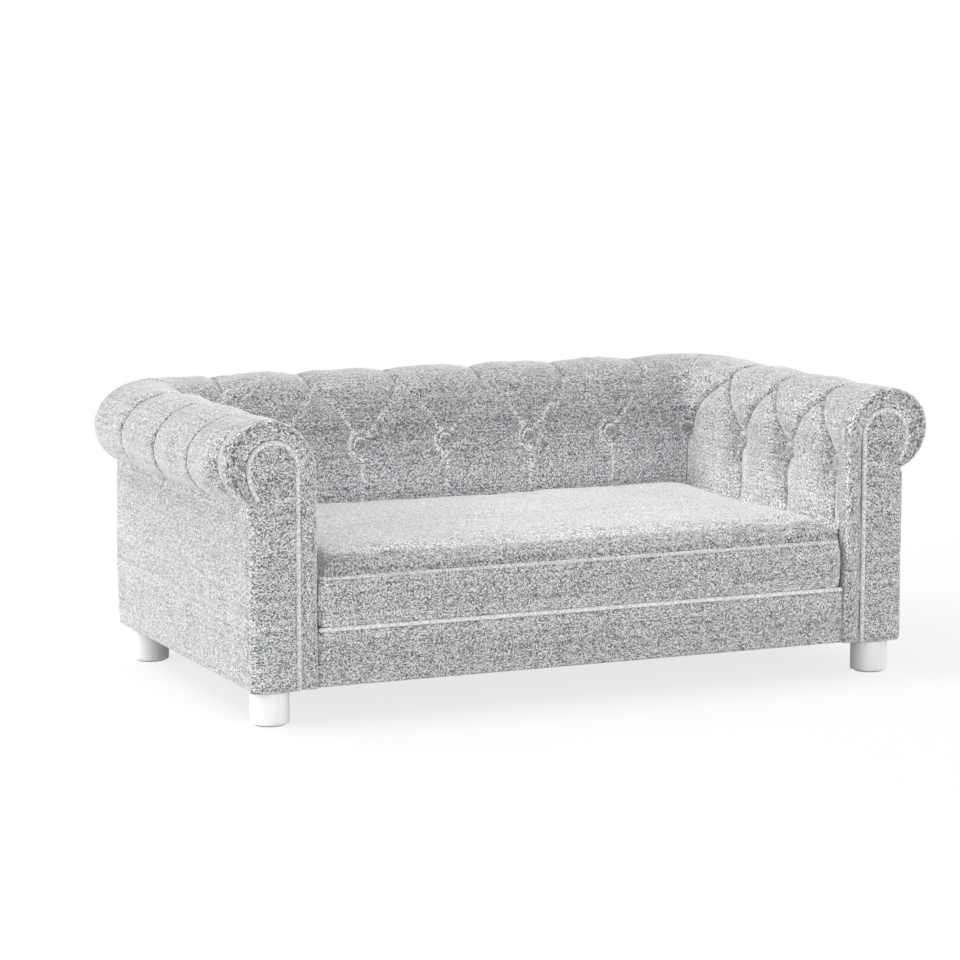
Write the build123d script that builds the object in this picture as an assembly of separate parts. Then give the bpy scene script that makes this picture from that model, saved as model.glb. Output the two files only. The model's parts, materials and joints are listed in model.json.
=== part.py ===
from build123d import *
from math import cos, radians, sin, sqrt
import os

# Overall sizes, in millimetres: X is the width, Y runs back, Z is up, the floor is Z 0
overall_width = 988.0
overall_depth = 589.0
overall_height = 368.0
arm_width = 134.0
back_depth = 144.5
clear_height = 43.5

# Upholstered body below the rolls
side_overhang = 48.0
rear_overhang = 57.0
body_corner_radius = 15.0
roll_drop = 99.0

# Sheet and board thicknesses
fabric = 2.5
outside_fabric = 3.0
hardboard = 3.0
dust_cover_thickness = 1.0
deck_thickness = 9.0
deck_cover_thickness = 1.5
scroll_board_thickness = 12.0
rail_thickness = 18.0
rail_height = 60.0
plank_drop = 66.0
block_width = 50.0
rear_block_length = 74.5
post_depth = 40.0
upright_place = 140.0

# Padding of the arms and the back
pad_share = 0.276
pad_relief = 3.0
inner_corner_radius = 12.0
arm_shoulder_share = 0.47
back_shoulder_share = 0.512
front_cinch = 10.0
cinch_fade = 36.0
crevice_depth = 20.0
tuck_share = 0.48
tuck_rise = 9.5

# Tufting
back_button_count = 5
back_stretch = 38.5
arm_button_count = 3
arm_first_button = 42.5
arm_stretch = 67.0
button_drop = 93.0
button_radius = 10.0
button_rim = 2.0
button_dome = 4.5
button_pull = 15.0
dimple_reach = 24.0
pleat_depth = 9.0
channel_depth = 6.0
quarter_place = 36.0
rise_share = 0.72
near_share = 0.3
corner_turn = 21.5
tie_radius = 0.8
knot_radius = 3.0
knot_length = 1.5

# Arm fronts
piping_radius = 2.5
piping_proud = 2.0
facing_thickness = 8.5
band_wrap = 6.0
front_edge_radius = 7.0
facing_inset = 25.5
facing_outer_inset = 33.5
scroll_drop = 24.0
scroll_end_inset = 7.0
scroll_end_drop = 92.0

# Front rail cover
rail_cover_recess = 5.0
rail_cover_front = 3.5
rail_cover_edge = 3.0

# Seat cushion
cushion_recess = 2.5
cushion_height = 95.5
cushion_corner_radius = 12.0
boxing_height = 60.0
seam_draw = 2.0
crown_inset = 120.0
corner_growth_share = 0.3
boxing_shares = [(0.0, 2.5, 1), (0.1, 0.4, 0), (0.5, 0.0, 0), (0.9, 0.4, -1), (1.0, 1.0, -1)]
crown_shares = [(0.14, 0.01), (0.42, 0.045), (0.64, 0.11), (0.81, 0.24), (0.93, 0.5), (1.0, 1.0)]

# Zip in the cushion's rear boxing
zip_end_gap = 50.0
zip_channel_depth = 7.7
zip_channel_height = 34.0
zip_height = 30.0
tape_width = 24.0
tape_thickness = 0.8
coil_width = 5.0
coil_thickness = 1.5
slider_length = 10.0
slider_wall = 1.2
slider_end_gap = 5.0
bridge_radius = 0.8
ear_length = 2.0
pull_length = 16.0
pull_width = 4.4
pull_thickness = 1.2

# Legs and their fittings
leg_radius = 24.0
leg_edge = 2.0
leg_side_inset = 30.0
front_leg_inset = 28.5
rear_leg_inset = 52.0
glide_radius = 19.0
glide_thickness = 1.5
stud_radius = 4.0
stud_in_leg = 26.0
stud_in_frame = 26.0
nut_radius = 5.5
nut_length = 20.0
nut_flange_radius = 7.8
nut_flange = 1.5

# Fasteners
screw_radius = 2.0
screw_head_radius = 4.0
screw_head_length = 2.5
screw_length = 38.0
screw_side_inset = 14.0
screw_level = 16.0
staple_crown = 10.0
staple_width = 1.2
staple_height = 0.6
staple_edge = 10.0
staple_count_across = 9
staple_count_along = 4

# Clearances and the overrun of every cut
soft_clearance = 0.3
hole_clearance = 0.2
overrun = 5.0
near_zero = 1e-6

# Levels and planes that several pieces share
half_width = overall_width / 2
half_depth = overall_depth / 2
seat_width = overall_width - 2 * arm_width
roll_underside = overall_height - roll_drop
plank_top = overall_height - plank_drop
button_height = overall_height - button_drop
body_half = half_width - side_overhang
body_rear = half_depth - rear_overhang
facing_plane = -half_depth + piping_proud
board_plane = facing_plane + facing_thickness
frame_front = board_plane + scroll_board_thickness
rail_bottom = clear_height + dust_cover_thickness
deck_bottom = rail_bottom + rail_height
deck_top = deck_bottom + deck_thickness
seat_level = deck_top + deck_cover_thickness
cushion_front = facing_plane + cushion_recess
back_plane = half_depth - back_depth
arm_plane = seat_width / 2 + pad_relief
pad_thickness = arm_width * pad_share
inner_board_x = arm_plane + pad_thickness
inner_board_y = back_plane + pad_thickness
arm_shoulder_radius = arm_width * arm_shoulder_share
back_shoulder_radius = back_depth * back_shoulder_share
tuck_high = deck_top + (button_height - deck_top) * tuck_share
tuck_low = tuck_high - tuck_rise
skin_x = body_half - outside_fabric
skin_y = body_rear - outside_fabric
frame_x = skin_x - hardboard
frame_y = skin_y - hardboard
plank_bottom = plank_top - rail_thickness
pivot_x = arm_plane - inner_corner_radius
pivot_y = back_plane - inner_corner_radius
arm_out = half_width - pivot_x
back_out = half_depth - pivot_y
back_pitch = 2 * (pivot_x - back_stretch) / back_button_count
first_arm_button = facing_plane + arm_first_button
arm_pitch = (pivot_y - arm_stretch - first_arm_button) / (arm_button_count - 1 / 2)
scroll_radius = (arm_width - pad_relief - front_cinch - facing_inset - facing_outer_inset) / 2
zip_length = seat_width - 2 * zip_end_gap
leg_x = body_half - leg_side_inset
leg_front_y = facing_plane + front_leg_inset
leg_rear_y = body_rear - rear_leg_inset
parts = {}


def block(x0, x1, y0, y1, z0, z1):
    """A box between two corners."""
    box = Box(x1 - x0, y1 - y0, z1 - z0)
    return Pos((x0 + x1) / 2, (y0 + y1) / 2, (z0 + z1) / 2) * box


def rod(start, direction, length, radius):
    """A round bar from a point along a direction."""
    return extrude(Plane(origin=start, z_dir=direction) * Circle(radius), amount=length)


def left_of(shape):
    """The same piece on the other side of the middle."""
    return mirror(shape, about=Plane.YZ)


def both_sides(name, shape):
    """Stores a right-hand piece and its mirror image under left and right names."""
    parts[name + "_right"] = shape
    parts[name + "_left"] = left_of(shape)


def body_plan(inset, z0, z1):
    """The body's plan with rounded corners, drawn in by an inset."""
    length = body_rear - facing_plane + 2 * body_corner_radius
    plan = RectangleRounded(2 * (body_half - inset), length, body_corner_radius - inset)
    middle = body_rear - inset - length / 2
    return Pos(0, middle, z0) * extrude(plan, amount=z1 - z0)


def roll_path(top_x, top_z, inner_radius, outer_radius, end):
    """Edges of a roll: shoulder arc, outer arc, and the arc that turns under to its end."""
    half = sqrt(2) / 2
    spring = (top_x - inner_radius, top_z - inner_radius)
    crest = (top_x, top_z)
    outer = (top_x + outer_radius, top_z - outer_radius)
    rise_mid = (top_x - inner_radius * half, spring[1] + inner_radius * half)
    fall_mid = (top_x + outer_radius * half, outer[1] + outer_radius * half)
    across = outer[0] - end[0]
    down = outer[1] - end[1]
    under_radius = (across ** 2 + down ** 2) / (2 * across)
    centre_x = outer[0] - under_radius
    turn = Vector(end[0] - centre_x, -down).get_angle(Vector(1, 0)) / 2
    under_mid_x = centre_x + under_radius * cos(radians(turn))
    under_mid = (under_mid_x, outer[1] - under_radius * sin(radians(turn)))
    shoulder = ThreePointArc(spring, rise_mid, crest)
    fall = ThreePointArc(crest, fall_mid, outer)
    under = ThreePointArc(outer, under_mid, end)
    return spring, [shoulder, fall, under]


def polyline(points):
    """Straight edges through points."""
    return [Line(a, b) for a, b in zip(points[:-1], points[1:])]


class Station:
    """One cross-section of the tufted padding, standing on the plan at a heading."""

    def __init__(self, x, y, heading, low=0.0, top=0.0, dimple=0.0, cinch=0.0):
        self.plane_origin = (x, y, 0)
        self.heading = heading
        self.low = low
        self.top = top
        self.dimple = dimple
        self.cinch = cinch

    def plane(self):
        """The plane of the section: its X points away from the seat, its Y is up."""
        out = (cos(radians(self.heading)), sin(radians(self.heading)), 0)
        return Plane(origin=self.plane_origin, x_dir=out, z_dir=(out[1], -out[0], 0))

    def from_side(self):
        """Degrees that the section has turned from square to the arm towards the back."""
        return self.heading if self.heading <= 90 else 180 - self.heading

    def reach(self, side_reach, rear_reach):
        """How far the section runs to the nearer of a plane beside the seat and one behind it."""
        turned = radians(self.from_side())
        to_side = side_reach / max(cos(turned), near_zero)
        to_rear = rear_reach / max(sin(turned), near_zero)
        return min(to_side, to_rear)

    def shape(self, inset):
        """Edges of the section's outside, drawn in by an inset, and their two end points."""
        turned = self.from_side()
        back_share = turned / 90
        shoulder = arm_shoulder_radius + (back_shoulder_radius - arm_shoulder_radius) * back_share
        out = arm_out + (back_out - arm_out) * back_share - front_cinch * self.cinch
        top_x = inner_corner_radius + shoulder
        drawn = channel_depth * self.top + inset
        low_x = inner_corner_radius + pleat_depth * self.low + inset
        slant = cos(radians(45 - turned)) if 0 < turned < 90 else 1
        seat_of_button = (inner_corner_radius + button_pull) / slant + inset
        dimple_x = low_x + (seat_of_button - low_x) * self.dimple
        seat_x = inner_corner_radius - pad_relief + soft_clearance + pad_relief * min(1, turned / 45)
        seat_x += inset + (crevice_depth - soft_clearance) * max(0, turned - 45) / 45
        under_x = self.reach(body_half - pivot_x, body_rear - pivot_y)
        end = (under_x, roll_underside + inset)
        start = (seat_x, deck_top)
        top_z = overall_height - drawn
        spring, roll = roll_path(top_x, top_z, shoulder - drawn, out - top_x - drawn, end)
        inside = polyline([
            start,
            (seat_x, tuck_low),
            (low_x, tuck_high),
            (low_x, button_height - dimple_reach),
            (dimple_x, button_height - button_radius),
            (dimple_x, button_height + button_radius),
            spring,
        ])
        return start, inside + roll, end

    def foam_face(self):
        """The foam's section, from its skin to the boards behind it."""
        start, skin, end = self.shape(fabric)
        board_x = self.reach(inner_corner_radius + pad_thickness, inner_corner_radius + pad_thickness)
        back = polyline([end, (end[0], plank_top), (board_x, plank_top), (board_x, deck_top), start])
        return self.plane() * make_face(skin + back)

    def cover_face(self):
        """The cover's section: a thin band over the foam."""
        start, skin, end = self.shape(0.0)
        inner_start, inner_skin, inner_end = self.shape(fabric)
        ends = [Line(end, inner_end), Line(inner_start, start)]
        return self.plane() * make_face(skin + inner_skin + ends)


def arm_station(y, low, top, dimple):
    """A section across the right arm."""
    cinch = max(0.0, 1 - (y - frame_front) / cinch_fade)
    return Station(pivot_x, y, 0, low, top, dimple, cinch)


def back_station(x, low, top, dimple):
    """A section across the back."""
    return Station(x, pivot_y, 90, low, top, dimple)


def tuft_stations(buttons, half_pitch, place):
    """Sections over a row of buttons: pleats under the buttons, channel valleys between them."""
    rows = []
    for button in buttons:
        rows.append(place(button - quarter_place, 1 - rise_share, 1 - rise_share, 0.0))
        rows.append(place(button - button_radius, 1 - near_share, 0.0, 1.0))
        rows.append(place(button, 1.0, 0.0, 1.0))
        rows.append(place(button + button_radius, 1 - near_share, 0.0, 1.0))
        rows.append(place(button + quarter_place, 1 - rise_share, 1 - rise_share, 0.0))
        rows.append(place(button + half_pitch, 0.0, 1.0, 0.0))
    return rows


arm_buttons = [first_arm_button + n * arm_pitch for n in range(arm_button_count)]
first_back_button = -back_pitch * (back_button_count - 1) / 2
back_buttons = [first_back_button + n * back_pitch for n in range(back_button_count)]


def arm_stations():
    """Sections of the right arm, from its front end to the mitre in the rear corner."""
    rows = tuft_stations(arm_buttons, arm_pitch / 2, arm_station)
    front = arm_station(frame_front, 1 - near_share, 0.0, 0.5)
    rows = [front] + rows[1:]
    for turned, low, top, dimple in corner_shares:
        if turned <= 45:
            rows.append(Station(pivot_x, pivot_y, turned, low, top, dimple))
    return rows


def back_stations():
    """Sections of the back, from the left mitre to the right one."""
    right = []
    for turned, low, top, dimple in corner_shares:
        if turned >= 45:
            right.append(Station(pivot_x, pivot_y, turned, low, top, dimple))
    right.reverse()
    left = [Station(-pivot_x, pivot_y, 180 - s.heading, s.low, s.top, s.dimple) for s in right]
    left.reverse()
    first_valley = back_station(back_buttons[0] - back_pitch / 2, 0.0, 1.0, 0.0)
    return left + [first_valley] + tuft_stations(back_buttons, back_pitch / 2, back_station) + right


# Turn from the arm in degrees, then the shares of pleat, valley and dimple in the corner
body_corner_turn = Vector(body_half - pivot_x, body_rear - pivot_y).get_angle(Vector(1, 0))
corner_shares = [
    (0, 0.1, 0.35, 0.0),
    (45 - corner_turn, 0.55, 0.0, 1.0),
    (45, 1.0, 0.0, 1.0),
    (body_corner_turn, 0.95, 0.0, 1.0),
    (45 + corner_turn, 0.55, 0.0, 1.0),
    (90, 0.1, 0.5, 0.0),
]


def button_seats(side):
    """Places and inward directions of the buttons: the back's, the corners' or one arm's."""
    reach = button_pull
    if side == "back":
        return [((x, back_plane + reach, button_height), (0, -1, 0)) for x in back_buttons]
    if side == "corner":
        out = (inner_corner_radius + reach) * cos(radians(45))
        facing = cos(radians(45))
        right = ((pivot_x + out, pivot_y + out, button_height), (-facing, -facing, 0))
        left = ((-pivot_x - out, pivot_y + out, button_height), (facing, -facing, 0))
        return [right, left]
    sign = 1 if side == "right" else -1
    place = sign * (arm_plane + reach)
    return [((place, y, button_height), (-sign, 0, 0)) for y in arm_buttons]


def button(place, facing):
    """A covered button: a flat rim and a domed face."""
    height = button_rim + button_dome
    ball_radius = (button_radius ** 2 + button_dome ** 2) / (2 * button_dome)
    ball = Pos(0, 0, height - ball_radius) * Sphere(ball_radius)
    disc = extrude(Circle(button_radius), amount=height)
    return Plane(origin=place, z_dir=facing) * (disc & ball)


def tie(place, facing, length, knot):
    """The twine that holds a button, with its knot behind the board."""
    away = Vector(*facing) * -1
    twine = rod(place, away, length, tie_radius)
    if knot:
        twine += rod(Vector(*place) + away * length, away, knot_length, knot_radius)
    return twine


def tie_holes(side):
    """Holes for the twine through the padding and the board of one side."""
    holes = []
    for place, facing in button_seats(side):
        away = Vector(*facing) * -1
        start = Vector(*place) - away * overrun
        holes.append(rod(start, away, pad_thickness + hardboard + overrun, tie_radius + hole_clearance))
    return holes


def timber_frame():
    """The wooden frame under the upholstery."""
    inner_block_x = frame_x - block_width
    front_block_end = frame_front + block_width
    rear_block_start = frame_y - rear_block_length
    inside = body_plan(outside_fabric, 0, overall_height)
    rail_back = frame_y - rail_thickness
    parts["front_rail"] = block(-inner_block_x, inner_block_x, frame_front, frame_front + rail_thickness,
                                rail_bottom, deck_bottom)
    parts["back_rail"] = block(-inner_block_x, inner_block_x, rail_back, frame_y, rail_bottom, deck_bottom)
    both_sides("side_rail", block(frame_x - rail_thickness, frame_x, front_block_end, rear_block_start,
                                  rail_bottom, deck_bottom))
    parts["centre_rail"] = block(-rail_thickness / 2, rail_thickness / 2, frame_front + rail_thickness,
                                 rail_back, rail_bottom, deck_bottom)
    front_block = block(inner_block_x, frame_x, frame_front, front_block_end, rail_bottom, deck_bottom)
    rear_block = block(inner_block_x, frame_x, rear_block_start, frame_y, rail_bottom, deck_bottom) & inside
    front_block = front_block - leg_hole(leg_front_y) - screws(True)
    rear_block = rear_block - leg_hole(leg_rear_y)
    corner_blocks = [front_block, rear_block, left_of(front_block), left_of(rear_block)]
    parts["corner_blocks"] = Compound(children=corner_blocks)
    deck_half = frame_x - rail_thickness
    parts["seat_deck"] = block(-deck_half, deck_half, frame_front, frame_y, deck_bottom, deck_top)
    corner_post = block(deck_half, frame_x, frame_y - post_depth, frame_y, deck_bottom, plank_bottom) & inside
    upright = block(upright_place - rail_thickness / 2, upright_place + rail_thickness / 2,
                    inner_board_y + hardboard, frame_y, deck_top, plank_bottom)
    posts = [corner_post, left_of(corner_post), upright, left_of(upright)]
    parts["back_posts"] = Compound(children=posts)
    arm_plank = block(inner_board_x + hardboard, frame_x, frame_front, frame_y, plank_bottom, plank_top)
    both_sides("arm_top_plank", arm_plank & inside)
    parts["back_top_plank"] = block(-inner_board_x - hardboard, inner_board_x + hardboard,
                                    inner_board_y + hardboard, frame_y, plank_bottom, plank_top)
    arm_board = block(inner_board_x, inner_board_x + hardboard, frame_front, inner_board_y,
                      deck_top, plank_top)
    both_sides("arm_inner_board", arm_board - tie_holes("right"))
    back_board = block(-inner_board_x - hardboard, inner_board_x + hardboard, inner_board_y,
                       inner_board_y + hardboard, deck_top, plank_top)
    parts["back_inner_board"] = back_board - tie_holes("back")
    side_board = block(frame_x, skin_x, frame_front, skin_y, rail_bottom, plank_top)
    both_sides("side_board", side_board & inside)
    outer_back = block(-frame_x, frame_x, frame_y, skin_y, rail_bottom, plank_top)
    parts["outer_back_board"] = outer_back & inside
    parts["frame_screws"] = Compound(children=screws(False) + [left_of(s) for s in screws(False)])


def screws(as_holes):
    """Screws through the right scroll board into the corner block, or the holes that they leave."""
    cut = overrun if as_holes else 0.0
    rows = []
    for x in (frame_x - block_width + screw_side_inset, frame_x - screw_side_inset):
        for z in (rail_bottom + screw_level, deck_bottom - screw_level):
            head = Cone(screw_radius, screw_head_radius, screw_head_length)
            head = Plane(origin=(x, board_plane + screw_head_length / 2, z), z_dir=(0, -1, 0)) * head
            shank_length = screw_length + cut
            rows.append(head + rod((x, board_plane + screw_head_length, z), (0, 1, 0), shank_length,
                                   screw_radius))
    return rows


def leg_hole(y):
    """The hole for a leg's nut and stud in the right corner block at a place along the side."""
    barrel = rod((leg_x, y, rail_bottom - overrun), (0, 0, 1), nut_length + overrun, nut_radius)
    flange = rod((leg_x, y, rail_bottom - overrun), (0, 0, 1), nut_flange + overrun, nut_flange_radius)
    stud = rod((leg_x, y, rail_bottom), (0, 0, 1), stud_in_frame + hole_clearance, stud_radius)
    return barrel + flange + stud


def arm_outline(inset, bottom):
    """The outline of an arm's front, from the inner side over the roll to the outer side."""
    shoulder = arm_shoulder_radius - inset
    crest_x = arm_plane + arm_shoulder_radius
    outer = half_width - front_cinch - crest_x - inset
    end = (body_half, roll_underside)
    if inset > 0:
        end = (skin_x, roll_underside + inset)
    spring, roll = roll_path(crest_x, overall_height - inset, shoulder, outer, end)
    start = (arm_plane + inset, bottom)
    foot = (end[0], bottom)
    return [Line(start, spring)] + roll + [Line(end, foot), Line(foot, start)]


def facing_edges(bottom):
    """The edge of the facing that the piping follows, from the bottom to the end of the scroll."""
    inner_x = arm_plane + facing_inset
    end = (body_half - scroll_end_inset, overall_height - scroll_end_drop)
    scroll_top = overall_height - scroll_drop
    spring, roll = roll_path(inner_x + scroll_radius, scroll_top, scroll_radius, scroll_radius, end)
    return [Line((inner_x, bottom), spring)] + roll


def in_front(edges, y, depth):
    """A flat shape in the front view, at a plane and extruded back by a depth."""
    plane = Plane(origin=(0, y, 0), x_dir=(1, 0, 0), z_dir=(0, -1, 0))
    return extrude(plane * make_face(edges), amount=-depth)


def arm_fronts():
    """Scroll board, gathered band, facing and piping of the right arm's front, and the left ones."""
    board = in_front(arm_outline(band_wrap, rail_bottom), board_plane, scroll_board_thickness)
    depth = facing_thickness + scroll_board_thickness
    front = in_front(arm_outline(0.0, clear_height), facing_plane, depth)
    rim = front.edges().filter_by_position(Axis.Y, facing_plane, facing_plane)
    rim = rim.filter_by(lambda e: e.center().Z > clear_height + overrun)
    front = fillet(rim, front_edge_radius)
    front -= block(skin_x, body_half + overrun, board_plane, frame_front + overrun,
                   clear_height - overrun, roll_underside)
    bottom = clear_height - overrun
    edges = facing_edges(bottom)
    outside = body_half + overrun
    end = (body_half - scroll_end_inset, overall_height - scroll_end_drop)
    closing = polyline([end, (outside, roll_underside - 2 * overrun), (outside, bottom),
                        (arm_plane + facing_inset, bottom)])
    facing_prism = in_front(edges + closing, facing_plane - overrun, facing_thickness + overrun)
    cord_y = -half_depth + piping_radius
    path = Wire([Plane(origin=(0, cord_y, 0), x_dir=(1, 0, 0), z_dir=(0, -1, 0)) * e
                 for e in facing_edges(clear_height)])
    start = Plane(origin=path @ 0, z_dir=path % 0)
    cord = sweep(start * Circle(piping_radius), path=path)
    groove = sweep(start * Circle(piping_radius + soft_clearance / 2), path=path)
    both_sides("scroll_board", board - screws(True))
    both_sides("arm_front_band", front - facing_prism - board - groove)
    both_sides("arm_facing", (front & facing_prism) - groove)
    both_sides("arm_piping", cord)


def outside_covers():
    """Fabric of the outer sides and the back, the front rail's cover and the dust cover."""
    wall = body_plan(0.0, clear_height, plank_top) - body_plan(outside_fabric, 0, overall_height)
    straight = body_half - body_corner_radius
    side = wall & block(straight, body_half, board_plane, body_rear, clear_height, plank_top)
    side -= block(straight, body_half + overrun, board_plane - overrun, frame_front,
                  roll_underside, plank_top + overrun)
    both_sides("outside_arm_cover", side)
    parts["outside_back_cover"] = wall & block(-straight, straight, 0, body_rear, clear_height, plank_top)
    board_half = arm_plane - soft_clearance - rail_cover_front
    board_top = deck_top - dust_cover_thickness
    rail_board = block(-board_half, board_half, board_plane, frame_front, rail_bottom, board_top)
    parts["front_rail_board"] = rail_board
    cover_half = arm_plane - soft_clearance
    cover_front = facing_plane + rail_cover_recess
    cover = block(-cover_half, cover_half, cover_front, frame_front, clear_height,
                  board_top + deck_cover_thickness)
    long_edges = cover.edges().filter_by(Axis.X).filter_by_position(Axis.Y, cover_front, cover_front)
    parts["front_rail_cover"] = fillet(long_edges, rail_cover_edge) - rail_board
    deck_cover = block(-seat_width / 2, seat_width / 2, frame_front, pivot_y, deck_top, seat_level)
    parts["deck_cover"] = deck_cover + block(-pivot_x, pivot_x, pivot_y, back_plane + crevice_depth
                                             - soft_clearance, deck_top, seat_level)
    sheet = body_plan(outside_fabric, clear_height, rail_bottom)
    sheet &= block(-skin_x, skin_x, frame_front, skin_y, clear_height, rail_bottom)
    for x in (-leg_x, leg_x):
        for y in (leg_front_y, leg_rear_y):
            sheet -= rod((x, y, clear_height - overrun), (0, 0, 1), 2 * overrun,
                         stud_radius + hole_clearance)
    parts["dust_cover"] = sheet
    parts["dust_cover_staples"] = Compound(children=staples())


def staples():
    """Staple crowns along the dust cover's edges, clear of the legs."""
    low = clear_height - staple_height
    rows = []
    step_x = 2 * leg_x / (staple_count_across + 1)
    step_y = (leg_rear_y - leg_front_y) / (staple_count_along + 1)
    for n in range(staple_count_across):
        x = -leg_x + (n + 1) * step_x
        for y in (frame_front + staple_edge, skin_y - staple_edge):
            rows.append(block(x - staple_crown / 2, x + staple_crown / 2, y, y + staple_width,
                              low, clear_height))
    for n in range(staple_count_along):
        y = leg_front_y + (n + 1) * step_y
        for x in (-skin_x + staple_edge, skin_x - staple_edge - staple_width):
            rows.append(block(x, x + staple_width, y - staple_crown / 2, y + staple_crown / 2,
                              low, clear_height))
    return rows


def padding():
    """Tufted foam and covers of the arms and the back, with their buttons and ties."""
    arm_rows = arm_stations()
    back_rows = back_stations()
    side_holes = tie_holes("right") + tie_holes("corner")
    arm_foam = loft([s.foam_face() for s in arm_rows], ruled=True) - side_holes
    arm_cover = loft([s.cover_face() for s in arm_rows], ruled=True) - side_holes
    both_sides("arm_foam", arm_foam)
    both_sides("arm_cover", arm_cover)
    rear_holes = tie_holes("back") + tie_holes("corner")
    parts["back_foam"] = loft([s.foam_face() for s in back_rows], ruled=True) - rear_holes
    parts["back_cover"] = loft([s.cover_face() for s in back_rows], ruled=True) - rear_holes
    ties = []
    for side in ("back", "corner", "left", "right"):
        seats = button_seats(side)
        name = "arm_buttons_" + side if side in ("left", "right") else side + "_buttons"
        parts[name] = Compound(children=[button(place, facing) for place, facing in seats])
        length = pad_thickness + hardboard - button_pull
        if side == "corner":
            length = pad_thickness - button_pull
        ties += [tie(place, facing, length, side != "corner") for place, facing in seats]
    parts["button_ties"] = Compound(children=ties)


def cushion_body(inset):
    """The seat cushion's outside, drawn in by an inset: boxing, seams and crowned top."""
    bottom = seat_level + soft_clearance
    crown = cushion_height - boxing_height
    levels = []
    for rise, draw, inward in boxing_shares:
        levels.append((bottom + boxing_height * rise + inset * inward, seam_draw * draw))
    for rise, draw in crown_shares:
        levels.append((bottom + boxing_height + crown * rise - inset, crown_inset * draw))
    faces = []
    rear = back_plane - soft_clearance
    middle = (cushion_front + rear) / 2
    for z, draw in levels:
        shrink = 2 * (draw + inset)
        outline = RectangleRounded(seat_width - shrink, rear - cushion_front - shrink,
                                   cushion_corner_radius + draw * corner_growth_share - inset)
        faces.append(Pos(0, middle, z) * outline)
    return loft(faces, ruled=True)


def seat_cushion():
    """The loose cushion: a cover round a foam core, with a zip sunk in its rear boxing."""
    rear = back_plane - soft_clearance
    floor = rear - zip_channel_depth
    zip_z = seat_level + soft_clearance + zip_height
    half_length = zip_length / 2 + overrun
    half_channel = zip_channel_height / 2
    channel = block(-half_length, half_length, floor, rear + overrun, zip_z - half_channel,
                    zip_z + half_channel)
    wide = block(-half_length - fabric, half_length + fabric, floor - fabric, rear + overrun,
                 zip_z - half_channel - fabric, zip_z + half_channel + fabric)
    foam = cushion_body(fabric) - wide
    parts["cushion_foam"] = foam
    parts["cushion_cover"] = cushion_body(0.0) - channel - foam
    tape_face = floor + tape_thickness
    coil_face = tape_face + coil_thickness
    parts["zip_tape"] = block(-zip_length / 2, zip_length / 2, floor, tape_face, zip_z - tape_width / 2,
                              zip_z + tape_width / 2)
    parts["zip_coil"] = block(-zip_length / 2, zip_length / 2, tape_face, coil_face,
                              zip_z - coil_width / 2, zip_z + coil_width / 2)
    zip_slider(zip_z, tape_face, coil_face)


def zip_slider(zip_z, tape_face, coil_face):
    """The slider that straddles the coil, with its bridge, and the pull tab on the bridge."""
    right = zip_length / 2 - slider_end_gap
    left = right - slider_length
    half_channel = coil_width / 2 + hole_clearance
    half_slider = half_channel + slider_wall
    low = tape_face + hole_clearance
    plate = coil_face + hole_clearance
    top = plate + slider_wall
    slider = block(left, right, low, top, zip_z - half_slider, zip_z + half_slider)
    slider -= block(left - overrun, right + overrun, low - overrun, plate, zip_z - half_channel,
                    zip_z + half_channel)
    pin_x = (left + right) / 2
    eye = bridge_radius + hole_clearance
    half_pull = pull_thickness / 2
    pin_y = top + eye + half_pull + hole_clearance
    ear_gap = pull_width / 2 + hole_clearance
    bar = rod((pin_x, pin_y, zip_z - half_slider), (0, 0, 1), 2 * half_slider, bridge_radius)
    slider += bar
    for low_z, high_z in ((zip_z - half_slider, zip_z - ear_gap), (zip_z + ear_gap, zip_z + half_slider)):
        slider += block(pin_x - ear_length / 2, pin_x + ear_length / 2, top, pin_y, low_z, high_z)
    parts["zip_slider"] = slider
    tab = block(pin_x - pull_length, pin_x, pin_y - half_pull, pin_y + half_pull, zip_z - pull_width / 2,
                zip_z + pull_width / 2)
    collar = rod((pin_x, pin_y, zip_z - pull_width / 2), (0, 0, 1), pull_width, eye + half_pull)
    bore = rod((pin_x, pin_y, zip_z - pull_width), (0, 0, 1), 2 * pull_width, eye)
    parts["zip_pull"] = tab + collar - bore


def legs():
    """Turned legs with their studs, nuts and glides."""
    studs = []
    nuts = []
    glides = []
    for end, y in (("front", leg_front_y), ("rear", leg_rear_y)):
        leg = rod((leg_x, y, glide_thickness), (0, 0, 1), clear_height - glide_thickness, leg_radius)
        leg = fillet(leg.edges().group_by(Axis.Z)[0], leg_edge)
        bottom = clear_height - stud_in_leg
        leg -= rod((leg_x, y, bottom), (0, 0, 1), stud_in_leg + overrun, stud_radius)
        both_sides("leg_" + end, leg)
        stud = rod((leg_x, y, bottom), (0, 0, 1), stud_in_leg + dust_cover_thickness + stud_in_frame,
                   stud_radius)
        nut = rod((leg_x, y, rail_bottom), (0, 0, 1), nut_length, nut_radius)
        nut += rod((leg_x, y, rail_bottom), (0, 0, 1), nut_flange, nut_flange_radius)
        nut -= rod((leg_x, y, rail_bottom - overrun), (0, 0, 1), nut_length + 2 * overrun, stud_radius)
        glide = rod((leg_x, y, 0), (0, 0, 1), glide_thickness, glide_radius)
        studs += [stud, left_of(stud)]
        nuts += [nut, left_of(nut)]
        glides += [glide, left_of(glide)]
    parts["leg_studs"] = Compound(children=studs)
    parts["leg_nuts"] = Compound(children=nuts)
    parts["leg_glides"] = Compound(children=glides)


timber_frame()
arm_fronts()
outside_covers()
padding()
seat_cushion()
legs()
os.makedirs("parts", exist_ok=True)
for name, shape in parts.items():
    export_step(shape, "parts/" + name + ".step")
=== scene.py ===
import json

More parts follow.
